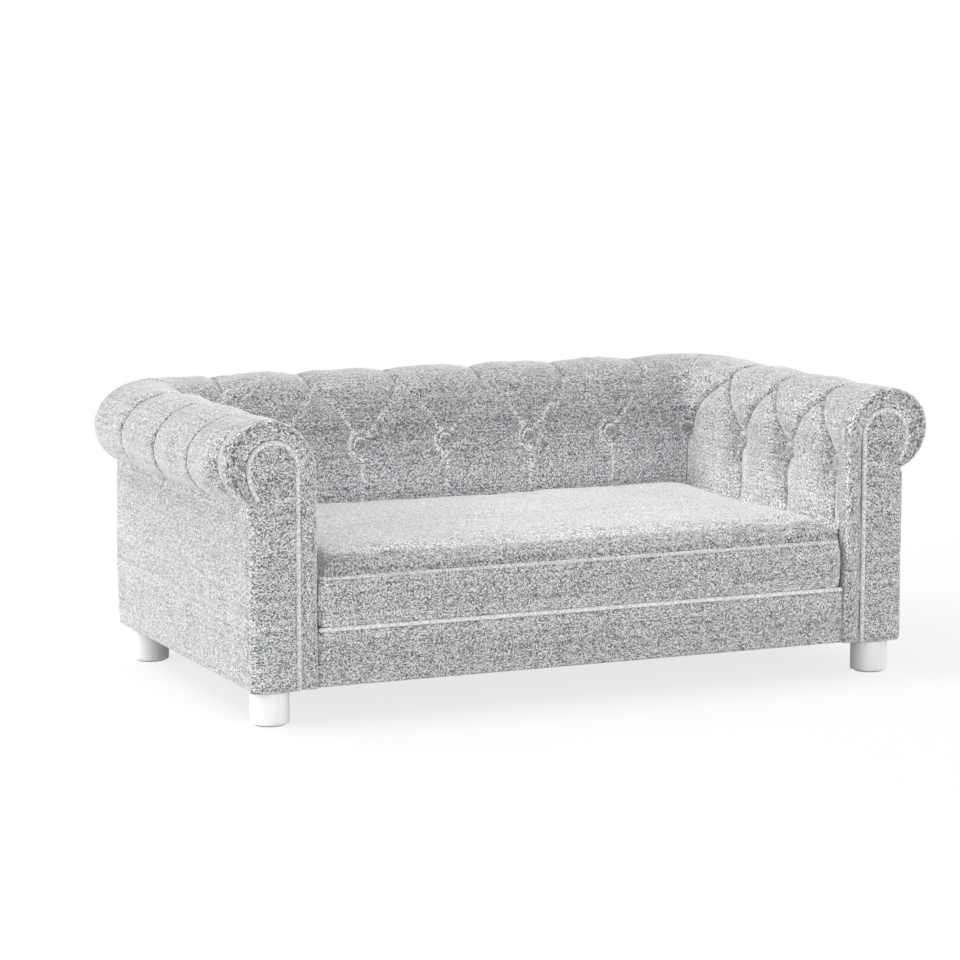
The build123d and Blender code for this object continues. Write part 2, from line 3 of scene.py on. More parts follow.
import bmesh
import bpy
import numpy as np
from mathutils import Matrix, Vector


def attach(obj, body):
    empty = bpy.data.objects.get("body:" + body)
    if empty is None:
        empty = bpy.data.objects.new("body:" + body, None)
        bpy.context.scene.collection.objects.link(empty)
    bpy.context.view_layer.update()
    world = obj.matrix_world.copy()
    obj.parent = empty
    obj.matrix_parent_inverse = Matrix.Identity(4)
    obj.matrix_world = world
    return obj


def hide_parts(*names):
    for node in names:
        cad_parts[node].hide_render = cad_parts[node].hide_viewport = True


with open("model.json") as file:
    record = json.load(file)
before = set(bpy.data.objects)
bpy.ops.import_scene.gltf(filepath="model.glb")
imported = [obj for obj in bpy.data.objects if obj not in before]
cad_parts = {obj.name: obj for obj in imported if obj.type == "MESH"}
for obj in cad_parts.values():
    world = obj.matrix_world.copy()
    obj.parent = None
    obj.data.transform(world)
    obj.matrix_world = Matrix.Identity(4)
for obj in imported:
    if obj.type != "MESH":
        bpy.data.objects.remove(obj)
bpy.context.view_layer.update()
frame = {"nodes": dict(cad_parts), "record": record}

# Lengths in metres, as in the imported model: X to the right, Y to the back, Z up from the floor
MM = 0.001
HALF_TURN = np.pi
QUARTER, TURN = HALF_TURN / 2, 2 * HALF_TURN
PIVOT_X, PIVOT_Y = 0.351, 0.138
INNER_RADIUS = 0.012
DECK_TOP, CREST, ROLL_END = 0.1135, 0.368, 0.269
BODY_X, BODY_Y, BODY_CORNER = 0.446, 0.2375, 0.015
BAND_REAR, COVER_FRONT, BODY_LOW = -0.272, -0.284, 0.0435
CLOTH, THIN_CLOTH = 0.0025, 0.002


def ease(low, high, value):
    """A smooth step from 0 at low to 1 at high: three times the square of the share less twice its cube."""
    share = np.clip((value - low) / (high - low), 0, 1)
    return share * share * (3 - 2 * share)


def window(low, low_end, high, high_end, value):
    """One between two smooth steps and nought outside them."""
    return ease(low, low_end, value) * (1 - ease(high, high_end, value))


def bell(value, centre, width):
    """One at the centre, falling off on both sides with the square of the distance."""
    return np.exp(-((value - centre) / width) ** 2)


def rounded(distance, radius):
    """A quarter circle: nought at the rim, one a radius away from it."""
    return np.sqrt(np.clip(1 - (1 - np.clip(distance / radius, 0, 1)) ** 2, 0, 1))


def ripple(u, v, size, seed):
    """Soft unevenness: eight plane waves of about one wavelength, in seeded directions and phases."""
    chance = np.random.default_rng(seed)
    total = 0
    for _ in range(8):
        turn, phase = chance.uniform(0, TURN, 2)
        length = size * chance.uniform(0.7, 1.5)
        total = total + np.sin((u * np.cos(turn) + v * np.sin(turn)) * TURN / length + phase)
    return total / 3


def lengths(points):
    """How far along a line each of its points lies."""
    steps = np.linalg.norm(np.diff(points, axis=0), axis=1)
    return np.concatenate([[0], np.cumsum(steps)])


def joined(*parts):
    """Arrays brought to one shape and put side by side along a last axis, such as X, Y and Z."""
    return np.stack(np.broadcast_arrays(*parts), -1)


def raised(plan, z):
    """Points of X and Y with their heights beside them."""
    return np.concatenate([plan, np.broadcast_to(z, plan.shape[:-1])[..., None]], -1)


def circle(count):
    """Angles once round, in one row."""
    return np.linspace(0, TURN, count)[None, :]


# Meshes
MERGE = 2e-6


def patch(points, uv=0.0, painted_shade_and_light=0.0):
    """A grid of points with the cloth's own lengths on it, and how much painted shade each point has; below
    nought it is a painted highlight.
    """
    size = points.shape[:2]
    return points, np.broadcast_to(uv, size + (2,)), np.broadcast_to(painted_shade_and_light, size)


def flipped(patches):
    """The same grids with their other side out."""
    return [tuple(np.ascontiguousarray(grid[::-1]) for grid in one) for one in patches]


def mirrored(patches):
    """The same grids on the other side of the middle, still facing outwards."""
    across = np.array([-1.0, 1.0, 1.0])
    return flipped([(points * across, uv, painted_shade_and_light) for points, uv, painted_shade_and_light in patches])


def end_caps(rings):
    """Flat fans that close the first and the last of a row of closed rings."""
    caps = []
    for row, order in ((0, 1), (-1, -1)):
        middle = np.broadcast_to(rings[row, :-1].mean(0), rings[row].shape)
        caps.append(patch(np.stack([middle, rings[row]][::order])))
    return caps


def tube(line, side, up, radius, angle, along, girth, tone):
    """A cord along a line: round each place a ring from the side direction through the up one, with its
    cloth measured along the line and round the girth."""
    points = line[:, None] + side[:, None] * (radius * np.cos(angle))[..., None]
    points = points + np.array(up) * (radius * np.sin(angle))[..., None]
    # The tone is the painted shade on every point of the cord; below nought it is a painted highlight.
    return patch(points, joined(along, angle * girth), tone)


def grid_mesh(name, patches):
    """One mesh from grids of points, with four-sided faces and shared edges merged."""
    start, corners = 0, []
    for points, _, _ in patches:
        rows, columns = points.shape[:2]
        index = start + np.arange(rows * columns).reshape(rows, columns)
        quads = [index[:-1, :-1], index[1:, :-1], index[1:, 1:], index[:-1, 1:]]
        corners.append(np.stack(quads, -1).reshape(-1, 4))
        start += rows * columns
    corners = np.concatenate(corners)
    points, uv, painted_shade_and_light = (np.concatenate([one[k].reshape(-1, size) for one in patches]).astype(np.float32)
                        for k, size in enumerate((3, 2, 1)))
    mesh = bpy.data.meshes.new(name)
    mesh.vertices.add(len(points))
    mesh.vertices.foreach_set("co", points.ravel())
    mesh.loops.add(corners.size)
    mesh.loops.foreach_set("vertex_index", corners.astype(np.int32).ravel())
    mesh.polygons.add(len(corners))
    mesh.polygons.foreach_set("loop_start", np.arange(0, corners.size, 4, dtype=np.int32))
    mesh.polygons.foreach_set("use_smooth", np.ones(len(corners), bool))
    mesh.uv_layers.new(name="cloth").uv.foreach_set("vector", uv[corners.ravel()].ravel())
    # Each point's painted shade and highlight goes on the mesh as a point attribute for the material.
    mesh.attributes.new("painted_shade_and_light", "FLOAT", "POINT").data.foreach_set("value", painted_shade_and_light.ravel())
    mesh.update(calc_edges=True)
    merged = bmesh.new()
    merged.from_mesh(mesh)
    bmesh.ops.remove_doubles(merged, verts=merged.verts, dist=MERGE)
    merged.to_mesh(mesh)
    merged.free()
    return mesh


def piece(name, patches, slot, body="sofa", wall=0.0, fill=None):
    """One object from grids of points; a skin gets its wall inwards. A piece that stands for a node is
    named after it, with one more word."""
    mesh = grid_mesh(name, patches)
    made = bpy.data.objects.new(name, mesh)
    bpy.context.collection.objects.link(made)
    mesh.materials.append(FINISHES[slot])
    if wall:
        thick = made.modifiers.new("wall", "SOLIDIFY")
        thick.thickness = wall
        thick.offset = -1
        thick.use_even_offset = False
    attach(made, body)
    node = name.rpartition("_")[0]
    if node in frame["nodes"]:
        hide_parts(node)
    return made


def pair(start, end, patches, slot, **more):
    """The same piece on the right and, mirrored, on the left, with the side in its name."""
    piece(f"{start}_right_{end}", patches, slot, **more)
    piece(f"{start}_left_{end}", mirrored(patches), slot, **more)


# The cushion's cloth simulation
SWELL_FRAMES = 20
THIN_ROWS, THIN_COLUMNS = 2, 3
PRESSURE, SPARE_CLOTH, SWELL_CAP = 4.0, 0.02, 0.003
CLOTH_RULES = {"quality": 6, "mass": 0.25, "air_damping": 3.0, "tension_stiffness": 18.0,
               "compression_stiffness": 18.0, "shear_stiffness": 8.0, "bending_stiffness": 0.8,
               "vertex_group_mass": "held", "shrink_min": -SPARE_CLOTH, "use_pressure": True,
               "uniform_pressure_force": PRESSURE}


def coordinates(mesh):
    """A mesh's points as rows of X, Y and Z."""
    flat = np.empty(len(mesh.vertices) * 3)
    mesh.vertices.foreach_get("co", flat)
    return flat.reshape(-1, 3)


def thin(count, step):
    """Every so many of a count, with the last one."""
    return np.unique(np.append(np.arange(0, count, step), count - 1))


def nearest(points, places):
    """The index of the place nearest to each point."""
    half = (places ** 2).sum(1) / 2
    return np.concatenate([(half - part @ places.T).argmin(1) for part in np.array_split(points, 12)])


def stretched(values, marks, count, axis):
    """Values at all of count steps from values at the marked steps, along straight lines between them."""
    steps = np.arange(count)
    after = np.clip(np.searchsorted(marks, steps), 1, len(marks) - 1)
    share = (steps - marks[after - 1]) / (marks[after] - marks[after - 1])
    share = share.reshape((-1, 1, 1) if axis == 0 else (1, -1, 1))
    return np.take(values, after - 1, axis) * (1 - share) + np.take(values, after, axis) * share


def swollen(grids, held):
    """How far a stuffed cover moves when its cloth is a little large and its filling pushes: a cloth
    simulation of a thinner set of the same rows and columns, with the held points still. Each move is cut
    to the cap, and the points between take their share from the nearest rows and columns."""
    picks = [(thin(grid.shape[0], THIN_ROWS), thin(grid.shape[1], THIN_COLUMNS)) for grid in grids]
    coarse = [grid[np.ix_(*pick)] for grid, pick in zip(grids, picks)]
    mesh = grid_mesh("swelling", [patch(grid) for grid in coarse])
    start = coordinates(mesh)
    owners = [nearest(grid.reshape(-1, 3), start) for grid in coarse]
    still = np.zeros(len(start), bool)
    for owner, mask, pick in zip(owners, held, picks):
        still[owner[mask[np.ix_(*pick)].ravel()]] = True
    cover = bpy.data.objects.new("swelling", mesh)
    bpy.context.collection.objects.link(cover)
    cover.vertex_groups.new(name="held").add(np.flatnonzero(still).tolist(), 1.0, "REPLACE")
    cloth = cover.modifiers.new("cloth", "CLOTH")
    for rule, value in CLOTH_RULES.items():
        setattr(cloth.settings, rule, value)
    cloth.settings.effector_weights.gravity = 0.0
    cloth.point_cache.frame_start, cloth.point_cache.frame_end = 1, SWELL_FRAMES
    for moment in range(1, SWELL_FRAMES + 1):
        bpy.context.scene.frame_set(moment)
    after = cover.evaluated_get(bpy.context.evaluated_depsgraph_get()).to_mesh()
    move = coordinates(after) - start
    size = np.linalg.norm(move, axis=1)[:, None] + 1e-9
    move = move / size * SWELL_CAP * np.tanh(size / SWELL_CAP)
    bpy.data.objects.remove(cover)
    bpy.context.scene.frame_set(1)
    fine = []
    for grid, (rows, columns), owner in zip(grids, picks, owners):
        part = move[owner].reshape(len(rows), len(columns), 3)
        part = stretched(part, columns, grid.shape[1], 1)
        fine.append(stretched(part, rows, grid.shape[0], 0).reshape(-1, 3))
    places = np.concatenate([grid.reshape(-1, 3) for grid in grids])
    same = np.unique(np.round(places, 6), axis=0, return_inverse=True)[1].ravel()
    shared = np.stack([np.bincount(same, part) for part in np.concatenate(fine).T], 1)
    shared = (shared / np.bincount(same)[:, None])[same]
    ends = np.cumsum([len(part) for part in fine])[:-1]
    return [part.reshape(grid.shape) for part, grid in zip(np.split(shared, ends), grids)]


# Materials


class Finish:
    """A material built from shader nodes: each call adds one node and gives its output."""

    def __init__(self, name, **fixed):
        self.material = bpy.data.materials.new(name)
        self.material.use_nodes = True
        self.tree = self.material.node_tree
        self.shader = self.tree.nodes["Principled BSDF"]
        for socket, value in fixed.items():
            self.shader.inputs[socket.replace("_", " ")].default_value = value

    def node(self, kind, inputs, output=0, **settings):
        made = self.tree.nodes.new("ShaderNode" + kind)
        for key, value in settings.items():
            setattr(made, key, value)
        for key, value in inputs.items():
            if isinstance(value, bpy.types.NodeSocket):
                self.tree.links.new(value, made.inputs[key])
            else:
                made.inputs[key].default_value = value
        return made.outputs[output]

    def math(self, operation, *values):
        return self.node("Math", dict(enumerate(values)), operation=operation)

    def times(self, *values):
        """The product of two values, plus a third where there is one."""
        return self.math("MULTIPLY" if len(values) == 2 else "MULTIPLY_ADD", *values)

    def plus(self, first, second):
        return self.math("ADD", first, second)

    def minus(self, first, second):
        return self.math("SUBTRACT", first, second)

    def over(self, first, second):
        return self.math("DIVIDE", first, second)

    def wave(self, value, rate):
        return self.math("SINE", self.times(value, rate))

    def floor(self, value):
        return self.math("FLOOR", value)

    def chance(self, vector, output=0, **settings):
        return self.node("TexWhiteNoise", {0: vector}, output, **settings)

    def place(self):
        return self.node("TexCoord", {}, output=3)

    def scaled(self, vector, *scale):
        return self.node("Mapping", {"Vector": vector, "Scale": scale})

    def split(self, vector):
        made = self.tree.nodes.new("ShaderNodeSeparateXYZ")
        self.tree.links.new(vector, made.inputs[0])
        return made.outputs

    def join(self, x, y, z=0.0):
        return self.node("CombineXYZ", {0: x, 1: y, 2: z})

    def noise(self, vector, scale=1.0, detail=2.0):
        return self.node("TexNoise", {"Vector": vector, "Scale": scale, "Detail": detail})

    def spread(self, value, low, high, to_low=0.0, to_high=1.0):
        return self.node("MapRange", {0: value, 1: low, 2: high, 3: to_low, 4: to_high})

    def mix(self, share, first, second, blend="MIX"):
        return self.node("Mix", {0: share, 6: first, 7: second}, output=2, data_type="RGBA",
                         blend_type=blend)

    def dimmed(self, colour, level):
        return self.mix(1.0, colour, self.join(level, level, level), blend="MULTIPLY")

    def done(self, colour, height, depth, strength, roughness=None):
        """Feeds the shader its colour, relief and, where it varies, roughness, and gives the material."""
        bump = self.node("Bump", {"Height": height, "Distance": depth, "Strength": strength})
        for value, socket in ((colour, "Base Color"), (bump, "Normal"), (roughness, "Roughness")):
            if value is not None:
                self.tree.links.new(value, self.shader.inputs[socket])
        return self.material


def shade(level, tint=(1.0, 1.0, 1.0)):
    """A colour from a screen level of 0 to 255, made linear."""
    level = np.array(tint) * level / 255
    linear = np.where(level <= 0.04045, level / 12.92, ((level + 0.055) / 1.055) ** 2.4)
    return (*[float(part) for part in linear], 1.0)


def woven(name, light, dark, yarn=(0.0015, 0.0012), turn=0.0):
    """Heathered plain weave in the cloth's own lengths: crossings are domes, the product of two sines; each
    yarn changes tone along its length, and single crossings differ by chance."""
    yarn_tone, single_tone, streak_tone, cloud_tone = 0.12, 0.57, 0.09, 0.03
    tinge, heather, painted_shade_strength, gap_level = 0.22, 0.07, 0.42, 0.80
    made = Finish(name, Roughness=0.92, Sheen_Weight=1.0, Sheen_Roughness=0.45, Specular_IOR_Level=0.18)
    uv = made.node("Mapping", {"Vector": made.node("UVMap", {}), "Rotation": (0.0, 0.0, turn)})
    drift = made.noise(uv, 38.0, 1.0)
    u, v, _ = made.split(uv)
    across = made.times(drift, 0.9, made.over(u, yarn[0]))
    up = made.times(drift, 0.7, made.over(v, yarn[1]))
    weave = made.times(made.wave(across, HALF_TURN), made.wave(up, HALF_TURN))
    dome = made.math("POWER", made.math("ABSOLUTE", weave), 0.6)
    row, column = made.floor(up), made.floor(across)
    weft = made.noise(made.join(made.over(across, 2.4), made.times(row, 1.7)))
    warp = made.noise(made.join(made.times(column, 1.7), made.over(up, 2.0), 7.0))
    on_top = made.math("GREATER_THAN", weave, 0.0)
    yarns = made.plus(made.times(weft, on_top), made.times(warp, made.minus(1.0, on_top)))
    single = made.chance(made.join(column, row), noise_dimensions="2D")
    streak = made.chance(made.join(made.floor(made.over(row, 2.0)), 3.0), noise_dimensions="2D")
    tone = made.plus(made.spread(yarns, 0.36, 0.64, -yarn_tone, yarn_tone),
                     made.spread(single, 0.0, 1.0, 0.5 - single_tone, 0.5 + single_tone))
    tone = made.plus(tone, made.spread(streak, 0.0, 1.0, -streak_tone, streak_tone))
    tone = made.plus(tone, made.spread(made.noise(uv, 30.0), 0.3, 0.7, -cloud_tone, cloud_tone))
    ground = made.mix(tone, dark, light)
    share = made.times(made.chance(made.join(row, column, 4.0)), tinge)
    ground = made.mix(share, ground, shade(160, (0.93, 0.98, 1.06)))
    ground = made.mix(heather, ground, made.chance(made.join(column, row, 9.0), output=1))
    # The point attribute paints light into the colour: above nought it darkens as painted shade, below nought
    # it lightens as a painted highlight.
    painted_shade_and_light = made.node("Attribute", {}, output=2, attribute_name="painted_shade_and_light")
    painted_highlight = made.math("MAXIMUM", made.times(painted_shade_and_light, -1.0), 0.0)
    painted_shade = made.minus(1.0, made.times(made.math("MAXIMUM", painted_shade_and_light, 0.0), painted_shade_strength))
    level = made.times(made.spread(dome, 0.0, 0.7, gap_level, 1.0), made.plus(painted_shade, painted_highlight))
    return made.done(made.dimmed(ground, level), made.times(tone, 0.5, dome), 0.0004, 0.5)


def timber(name, light, dark, gloss=0.6):
    """Sawn wood: rings round a far axis, stretched along X, and fine pores."""
    made = Finish(name, Roughness=gloss)
    place = made.place()
    drawn = made.scaled(place, 1.2, 9.0, 9.0)
    wander = made.noise(drawn, 3.0, 3.0)
    rings = made.math("SINE", made.times(wander, 16.0, made.times(made.split(drawn)[1], 11.0)))
    pores = made.noise(made.scaled(place, 14.0, 420.0, 420.0), 1.0, 3.0)
    tone = made.times(made.spread(rings, -1.0, 1.0), 0.6, made.times(pores, 0.5))
    roughness = made.spread(pores, 0.3, 0.7, gloss + 0.12, gloss - 0.08)
    return made.done(made.mix(tone, dark, light), tone, 0.0004, 0.35, roughness)


def fibreboard(name):
    """Pressed board: fine speckled fibres, a little darker in soft patches."""
    made = Finish(name, Roughness=0.55)
    place = made.place()
    fibres = made.noise(made.scaled(place, 900.0, 260.0, 500.0), 1.0, 4.0)
    tone = made.times(made.noise(place, 14.0), 0.4, made.times(fibres, 0.6))
    dark, light = shade(92, (1.1, 0.85, 0.62)), shade(150, (1.08, 0.88, 0.66))
    return made.done(made.mix(made.spread(tone, 0.3, 0.7), dark, light), fibres, 0.0002, 0.4)


def painted_leg(name):
    """White-washed turned wood: faint upright grain lines and a slightly darker lower rim."""
    made = Finish(name, Roughness=0.42, Specular_IOR_Level=0.4, Coat_Weight=0.15, Coat_Roughness=0.3)
    place = made.place()
    grain = made.noise(made.scaled(place, 210.0, 210.0, 7.0), 1.0, 4.0)
    broad = made.noise(made.scaled(place, 60.0, 60.0, 3.0))
    tone = made.times(grain, 0.6, made.times(broad, 0.4))
    colour = made.mix(made.spread(tone, 0.32, 0.62), shade(236), shade(252))
    # The colour is a tenth darker in the lowest few millimetres, unevenly.
    height = made.times(broad, 0.006, made.split(place)[2])
    darker_foot = made.dimmed(colour, made.spread(height, 0.004, 0.009, 0.9, 1.0))
    return made.done(darker_foot, tone, 0.0003, 0.5, made.spread(grain, 0.3, 0.7, 0.5, 0.36))


def steel(name, level=188, gloss=0.32):
    """Zinc-plated steel: soft spangle in tone and gloss."""
    made = Finish(name, Metallic=1.0, Roughness=gloss)
    spangle = made.noise(made.place(), 420.0)
    colour = made.mix(spangle, shade(level - 26, (1.0, 1.0, 0.97)), shade(level + 14))
    roughness = made.spread(spangle, 0.3, 0.7, gloss - 0.08, gloss + 0.12)
    return made.done(colour, spangle, 0.00005, 0.3, roughness)


def moulded(name, level, gloss):
    """Moulded plastic: even colour with a fine grain."""
    made = Finish(name, Roughness=gloss)
    place = made.place()
    soft = made.noise(place, 60.0)
    colour = made.mix(made.times(soft, 0.25), shade(level), shade(230))
    roughness = made.spread(soft, 0.3, 0.7, gloss - 0.06, gloss + 0.1)
    return made.done(colour, made.noise(place, 900.0), 0.00008, 0.4, roughness)


def foam(name):
    """Cut polyurethane foam: open cells, paler and darker in soft clouds."""
    made = Finish(name, Roughness=0.95)
    place = made.place()
    cells = made.node("TexVoronoi", {"Vector": place, "Scale": 520.0})
    tone = made.times(cells, 0.5, made.times(made.noise(place, 16.0, 3.0), 0.6))
    colour = made.mix(tone, shade(196, (1.0, 0.93, 0.74)), shade(236, (1.0, 0.97, 0.86)))
    return made.done(colour, cells, 0.0008, 0.6)


def thin_cloth(name, level, pitch):
    """Plain lining cloth in Object coordinates: fine crossed threads with soft thin places."""
    made = Finish(name, Roughness=0.9, Sheen_Weight=0.1)
    place = made.place()
    x, y, _ = made.split(place)
    weave = made.times(made.wave(x, TURN / pitch), made.wave(y, TURN / pitch))
    tone = made.times(weave, 0.2, made.noise(place, 120.0, 4.0))
    colour = shade(level)
    lighter = tuple(min(1.0, part * 1.5) for part in colour[:3]) + (1.0,)
    return made.done(made.mix(tone, colour, lighter), tone, 0.0002, 0.5)


def twine(name):
    """Waxed twine: a fine lay that winds round the thread."""
    made = Finish(name, Roughness=0.7)
    x, y, z = made.split(made.place())
    lay = made.wave(made.plus(made.plus(x, y), z), 2600.0)
    dark, light = shade(180, (1.0, 0.95, 0.85)), shade(226, (1.0, 0.97, 0.9))
    return made.done(made.mix(made.spread(lay, -1.0, 1.0), dark, light), lay, 0.0002, 0.6)


PALE, DARK = shade(252), shade(66, (0.96, 0.99, 1.04))
FINISHES = {
    "upholstery": woven("heathered linen", PALE, DARK),
    # The piping is a lighter copy of the same linen, a painted highlight.
    "piping": woven("bias cut linen", shade(252), shade(176), turn=QUARTER / 2),
    "button_fabric": woven("button linen", PALE, DARK, yarn=(0.0014, 0.0011)),
    "padding_foam": foam("cut foam"),
    "deck_cloth": thin_cloth("deck lining", 150, 0.0012),
    "dust_cloth": thin_cloth("dust cover cloth", 42, 0.0009),
    "twine": twine("waxed twine"),
    "frame_wood": timber("sawn pine", shade(214, (1.0, 0.87, 0.66)), shade(176, (1.0, 0.8, 0.56))),
    "hardboard": fibreboard("hardboard"),
    "leg_wood": painted_leg("white leg wood"),
    "fastener_steel": steel("zinc steel"),
    "zip_tape": thin_cloth("zip tape weave", 158, 0.0008),
    "zip_plastic": moulded("zip coil plastic", 150, 0.4),
    "zip_metal": steel("zip metal", 168, 0.28),
    "glide_plastic": moulded("felt grey glide", 120, 0.7),
}
for part in frame["record"]["subparts"]:
    kept = frame["nodes"][part["node"]]
    kept.data.materials.clear()
    kept.data.materials.append(FINISHES[part["material_slot"]])


# Tufted arms and back, on the line that runs from one arm's front round the back to the other arm's front
FAN = 0.034
FAN_END = FAN * HALF_TURN / 2
MIDDLE = FAN_END + PIVOT_X
BUTTON_LEVEL, MEET_LEVEL = 0.275, 0.364
BUTTON_SINK, BUTTON_HOLE = 0.015, 0.0090
ARM_BUTTONS = (-0.250, -0.1216, 0.0068)
ARM_HALF, BACK_HALF = 0.0642, 0.0625
BACK_BUTTONS = (0.25, 0.125, 0.0, -0.125, -0.25)
ROLL_SHOULDER, CORNER_SHOULDER = 0.063, 0.011
ROLL_OUT, CORNER_OUT, CINCH, CINCH_LENGTH = 0.143, 0.0135, 0.010, 0.036
ROLL_TOP, CORNER_TOP, ROLL_DROP = CREST + 0.003, 0.0015, 0.86
UNDER_X, UNDER_Y = BODY_X - PIVOT_X, BODY_Y - PIVOT_Y
ARM_FOOT, CORNER_FOOT, BACK_FOOT = 0.0093, 0.003, 0.0197
FOOT_LOW, FOOT_HIGH, BACK_FOOT_DROP = 0.181, 0.197, 0.017
BOARD_GAP, PLANK_LOW, FOAM_GAP = 0.049, 0.302, 0.001

# Folds: the place of a part beside the fold's line with its width (the lip, the painted highlight on the
# ridge and the painted pale line), then widths (the fold's painted shade among them), and how they end at the
# seat
LIP, PAINTED_RIDGE, PAINTED_PALE_LINE = (0.0052, 0.0026), (-0.0065, 0.0038), (0.0004, 0.0021)
FOLD_WIDTH, SHADOW_WIDTH = 0.0025, 0.0022
UNDER_PULL_WIDTH, SLANT_PULL_WIDTH, OVER_PULL_WIDTH = 0.025, 0.019, 0.021
LIP_HEIGHT, OVER_LIP_HEIGHT = 0.0010, 0.0006
FOLD_FOOT, FOLD_FOOT_END = 0.186, 0.200
PUCKERS, PUCKER_DEPTH = 9, 0.0008
SKIN_STEP, SKIN_COLUMNS, FOAM_STEP, FOAM_COLUMNS = 0.0021, 0.0040, 0.005, 0.006
SKIN_FILL, FOAM_FILL = 0.8, 0.9


def button_places():
    """Each button's place on the line round the seat, with the places where its two pleats meet others."""
    arm = [y - PIVOT_Y for y in ARM_BUTTONS]
    back = [MIDDLE - x for x in BACK_BUTTONS]
    rows = [(b, b - ARM_HALF, b + ARM_HALF) for b in arm]
    rows.append((FAN_END / 2, arm[-1] + ARM_HALF, back[0] - BACK_HALF))
    return rows + [(b, b - BACK_HALF, b + BACK_HALF) for b in back]


def crease(rows, gap, live, pull, pull_width, sharp, lip, arm, painted_light):
    """Adds one fold to the rows (broad pull, fold, lip, painted shade and light): each falls off with the gap
    from the fold's line, the first two as exponentials, the lip as a bell beside the line. The arms' folds
    get painted shade with a painted highlight on the ridge in front of them, the back's get painted
    highlights along pale lines."""
    rows[0] += (pull * np.exp(-np.abs(gap) / pull_width) * live) ** 3
    rows[1] += (sharp * np.exp(-np.abs(gap) / FOLD_WIDTH) * live) ** 3
    rows[2] += lip * bell(gap, *LIP) * live
    # Painted shade in the arms' creases, less a painted highlight on the ridge in front; the back's creases
    # get painted highlights along a pale line instead.
    dark = np.exp(-np.abs(gap) / SHADOW_WIDTH) - 0.5 * bell(gap, *PAINTED_RIDGE)
    rows[3] += live * (arm * dark - (1 - arm) * painted_light * bell(gap, *PAINTED_PALE_LINE))


def tuft_depth(s, t, end, hand):
    """How far the cloth is drawn in, with its broad pulls and sharp folds, and the painted shade and light on
    it. Pulls of several folds join as the cube root of their cubes. A button's pull is flat under it and
    falls off round it. The arms' folds are deeper than the back's, with painted shade in a hollow behind each
    button and a painted highlight on the ridge in front of it; round the back's buttons lies a painted
    highlight in a pale ring."""
    arm = 1 - ease(0.0, FAN_END, s)
    rows = [np.zeros(np.broadcast_shapes(s.shape, t.shape)) for _ in range(4)]
    hole, pucker = 0.0, 0.0
    high = t - BUTTON_LEVEL
    under = window(FOLD_FOOT, FOLD_FOOT_END, BUTTON_LEVEL - 0.004, BUTTON_LEVEL + 0.004, t)
    above = window(BUTTON_LEVEL - 0.004, BUTTON_LEVEL + 0.008, MEET_LEVEL - 0.006, MEET_LEVEL + 0.008, t)
    away = np.clip((t - MEET_LEVEL) / (end - MEET_LEVEL), 0, 1)
    beyond = ease(MEET_LEVEL - 0.010, MEET_LEVEL + 0.006, t)
    fade = 0.95 - 0.6 * ease(0.010, MEET_LEVEL - BUTTON_LEVEL, high)
    meets = set()
    for n, (place, left, right) in enumerate(button_places()):
        off = s - place
        crease(rows, off, under, 0.0035 + 0.0045 * arm, UNDER_PULL_WIDTH, 0.0022 + 0.0012 * arm, LIP_HEIGHT,
               arm, 0.80)
        for meet in (left, right):
            meets.add(round(meet, 5))
            slope = (meet - place) / (MEET_LEVEL - BUTTON_LEVEL)
            gap = (off - slope * high) / np.sqrt(1 + slope * slope)
            crease(rows, gap, above, 0.0045 + 0.0045 * arm, SLANT_PULL_WIDTH, 0.0022 + 0.0016 * arm,
                   LIP_HEIGHT, arm, fade)
        round_gap = np.hypot(off, high)
        hole = np.maximum(hole, np.exp(-(np.maximum(round_gap - BUTTON_HOLE, 0) / 0.0110) ** 1.2))
        way = np.arctan2(high, off)
        pucker = pucker + PUCKER_DEPTH * np.cos(PUCKERS * way + n) * bell(round_gap, 0.016, 0.008)
        # Painted light round the buttons: painted shade in the hollow behind each arm button, a painted
        # highlight on the ridge in front of it, and a painted highlight in a pale ring round each back
        # button, stronger on one side.
        hollow_shade = 0.62 * bell(off, 0.019, 0.013) * bell(high, -0.010, 0.034)
        ridge_highlight = 0.35 * bell(off, -0.019, 0.009) * bell(high, -0.018, 0.045)
        ring_highlight = 0.78 * bell(round_gap, 0.0145, 0.0060) * (0.3 + 0.7 * ease(-0.4, 0.8, hand * np.cos(way)))
        rows[3] += arm * (hollow_shade - ridge_highlight) - (1 - arm) * ring_highlight
    # Painted highlights on the low part of the inner faces and in the corner's mitre, up to just above the
    # buttons.
    mitre_highlight = bell(s, FAN_END / 2, 0.020) * (1 - ease(0.29, 0.32, t))
    rows[3] -= 0.35 * (1 - ease(0.20, 0.29, t)) + 0.3 * mitre_highlight
    for meet in meets:
        crease(rows, s - meet, beyond, 0.0068 - 0.0040 * away, OVER_PULL_WIDTH, 0.0032 - 0.0012 * away,
               OVER_LIP_HEIGHT, np.maximum(arm, 0.45), 0.3)
    wide, sharp, lip, tone = np.cbrt(rows[0]), np.cbrt(rows[1]), rows[2], rows[3]
    depth = (wide + sharp - lip) * (1 - hole) + BUTTON_SINK * hole + pucker
    # The cloth under a button gets painted shade.
    button = ease(0.6, 1.0, hole)
    return depth, np.clip(tone * (1 - button) + button * 0.45, -1, 1)


def seat_line(s):
    """X and Y of the line's pivot at a place: along the arm, still in the corner, along the back."""
    return PIVOT_X - np.maximum(s - FAN_END, 0), PIVOT_Y + np.minimum(s, 0)


def corner_place(places):
    """Places as a column, on the near half of the line, with their angle round the corner and their side."""
    places = np.asarray(places)[:, None]
    s = np.minimum(places, 2 * MIDDLE - places)
    return places, s, np.clip(s / FAN, 0, QUARTER), np.where(places > MIDDLE, -1.0, 1.0)


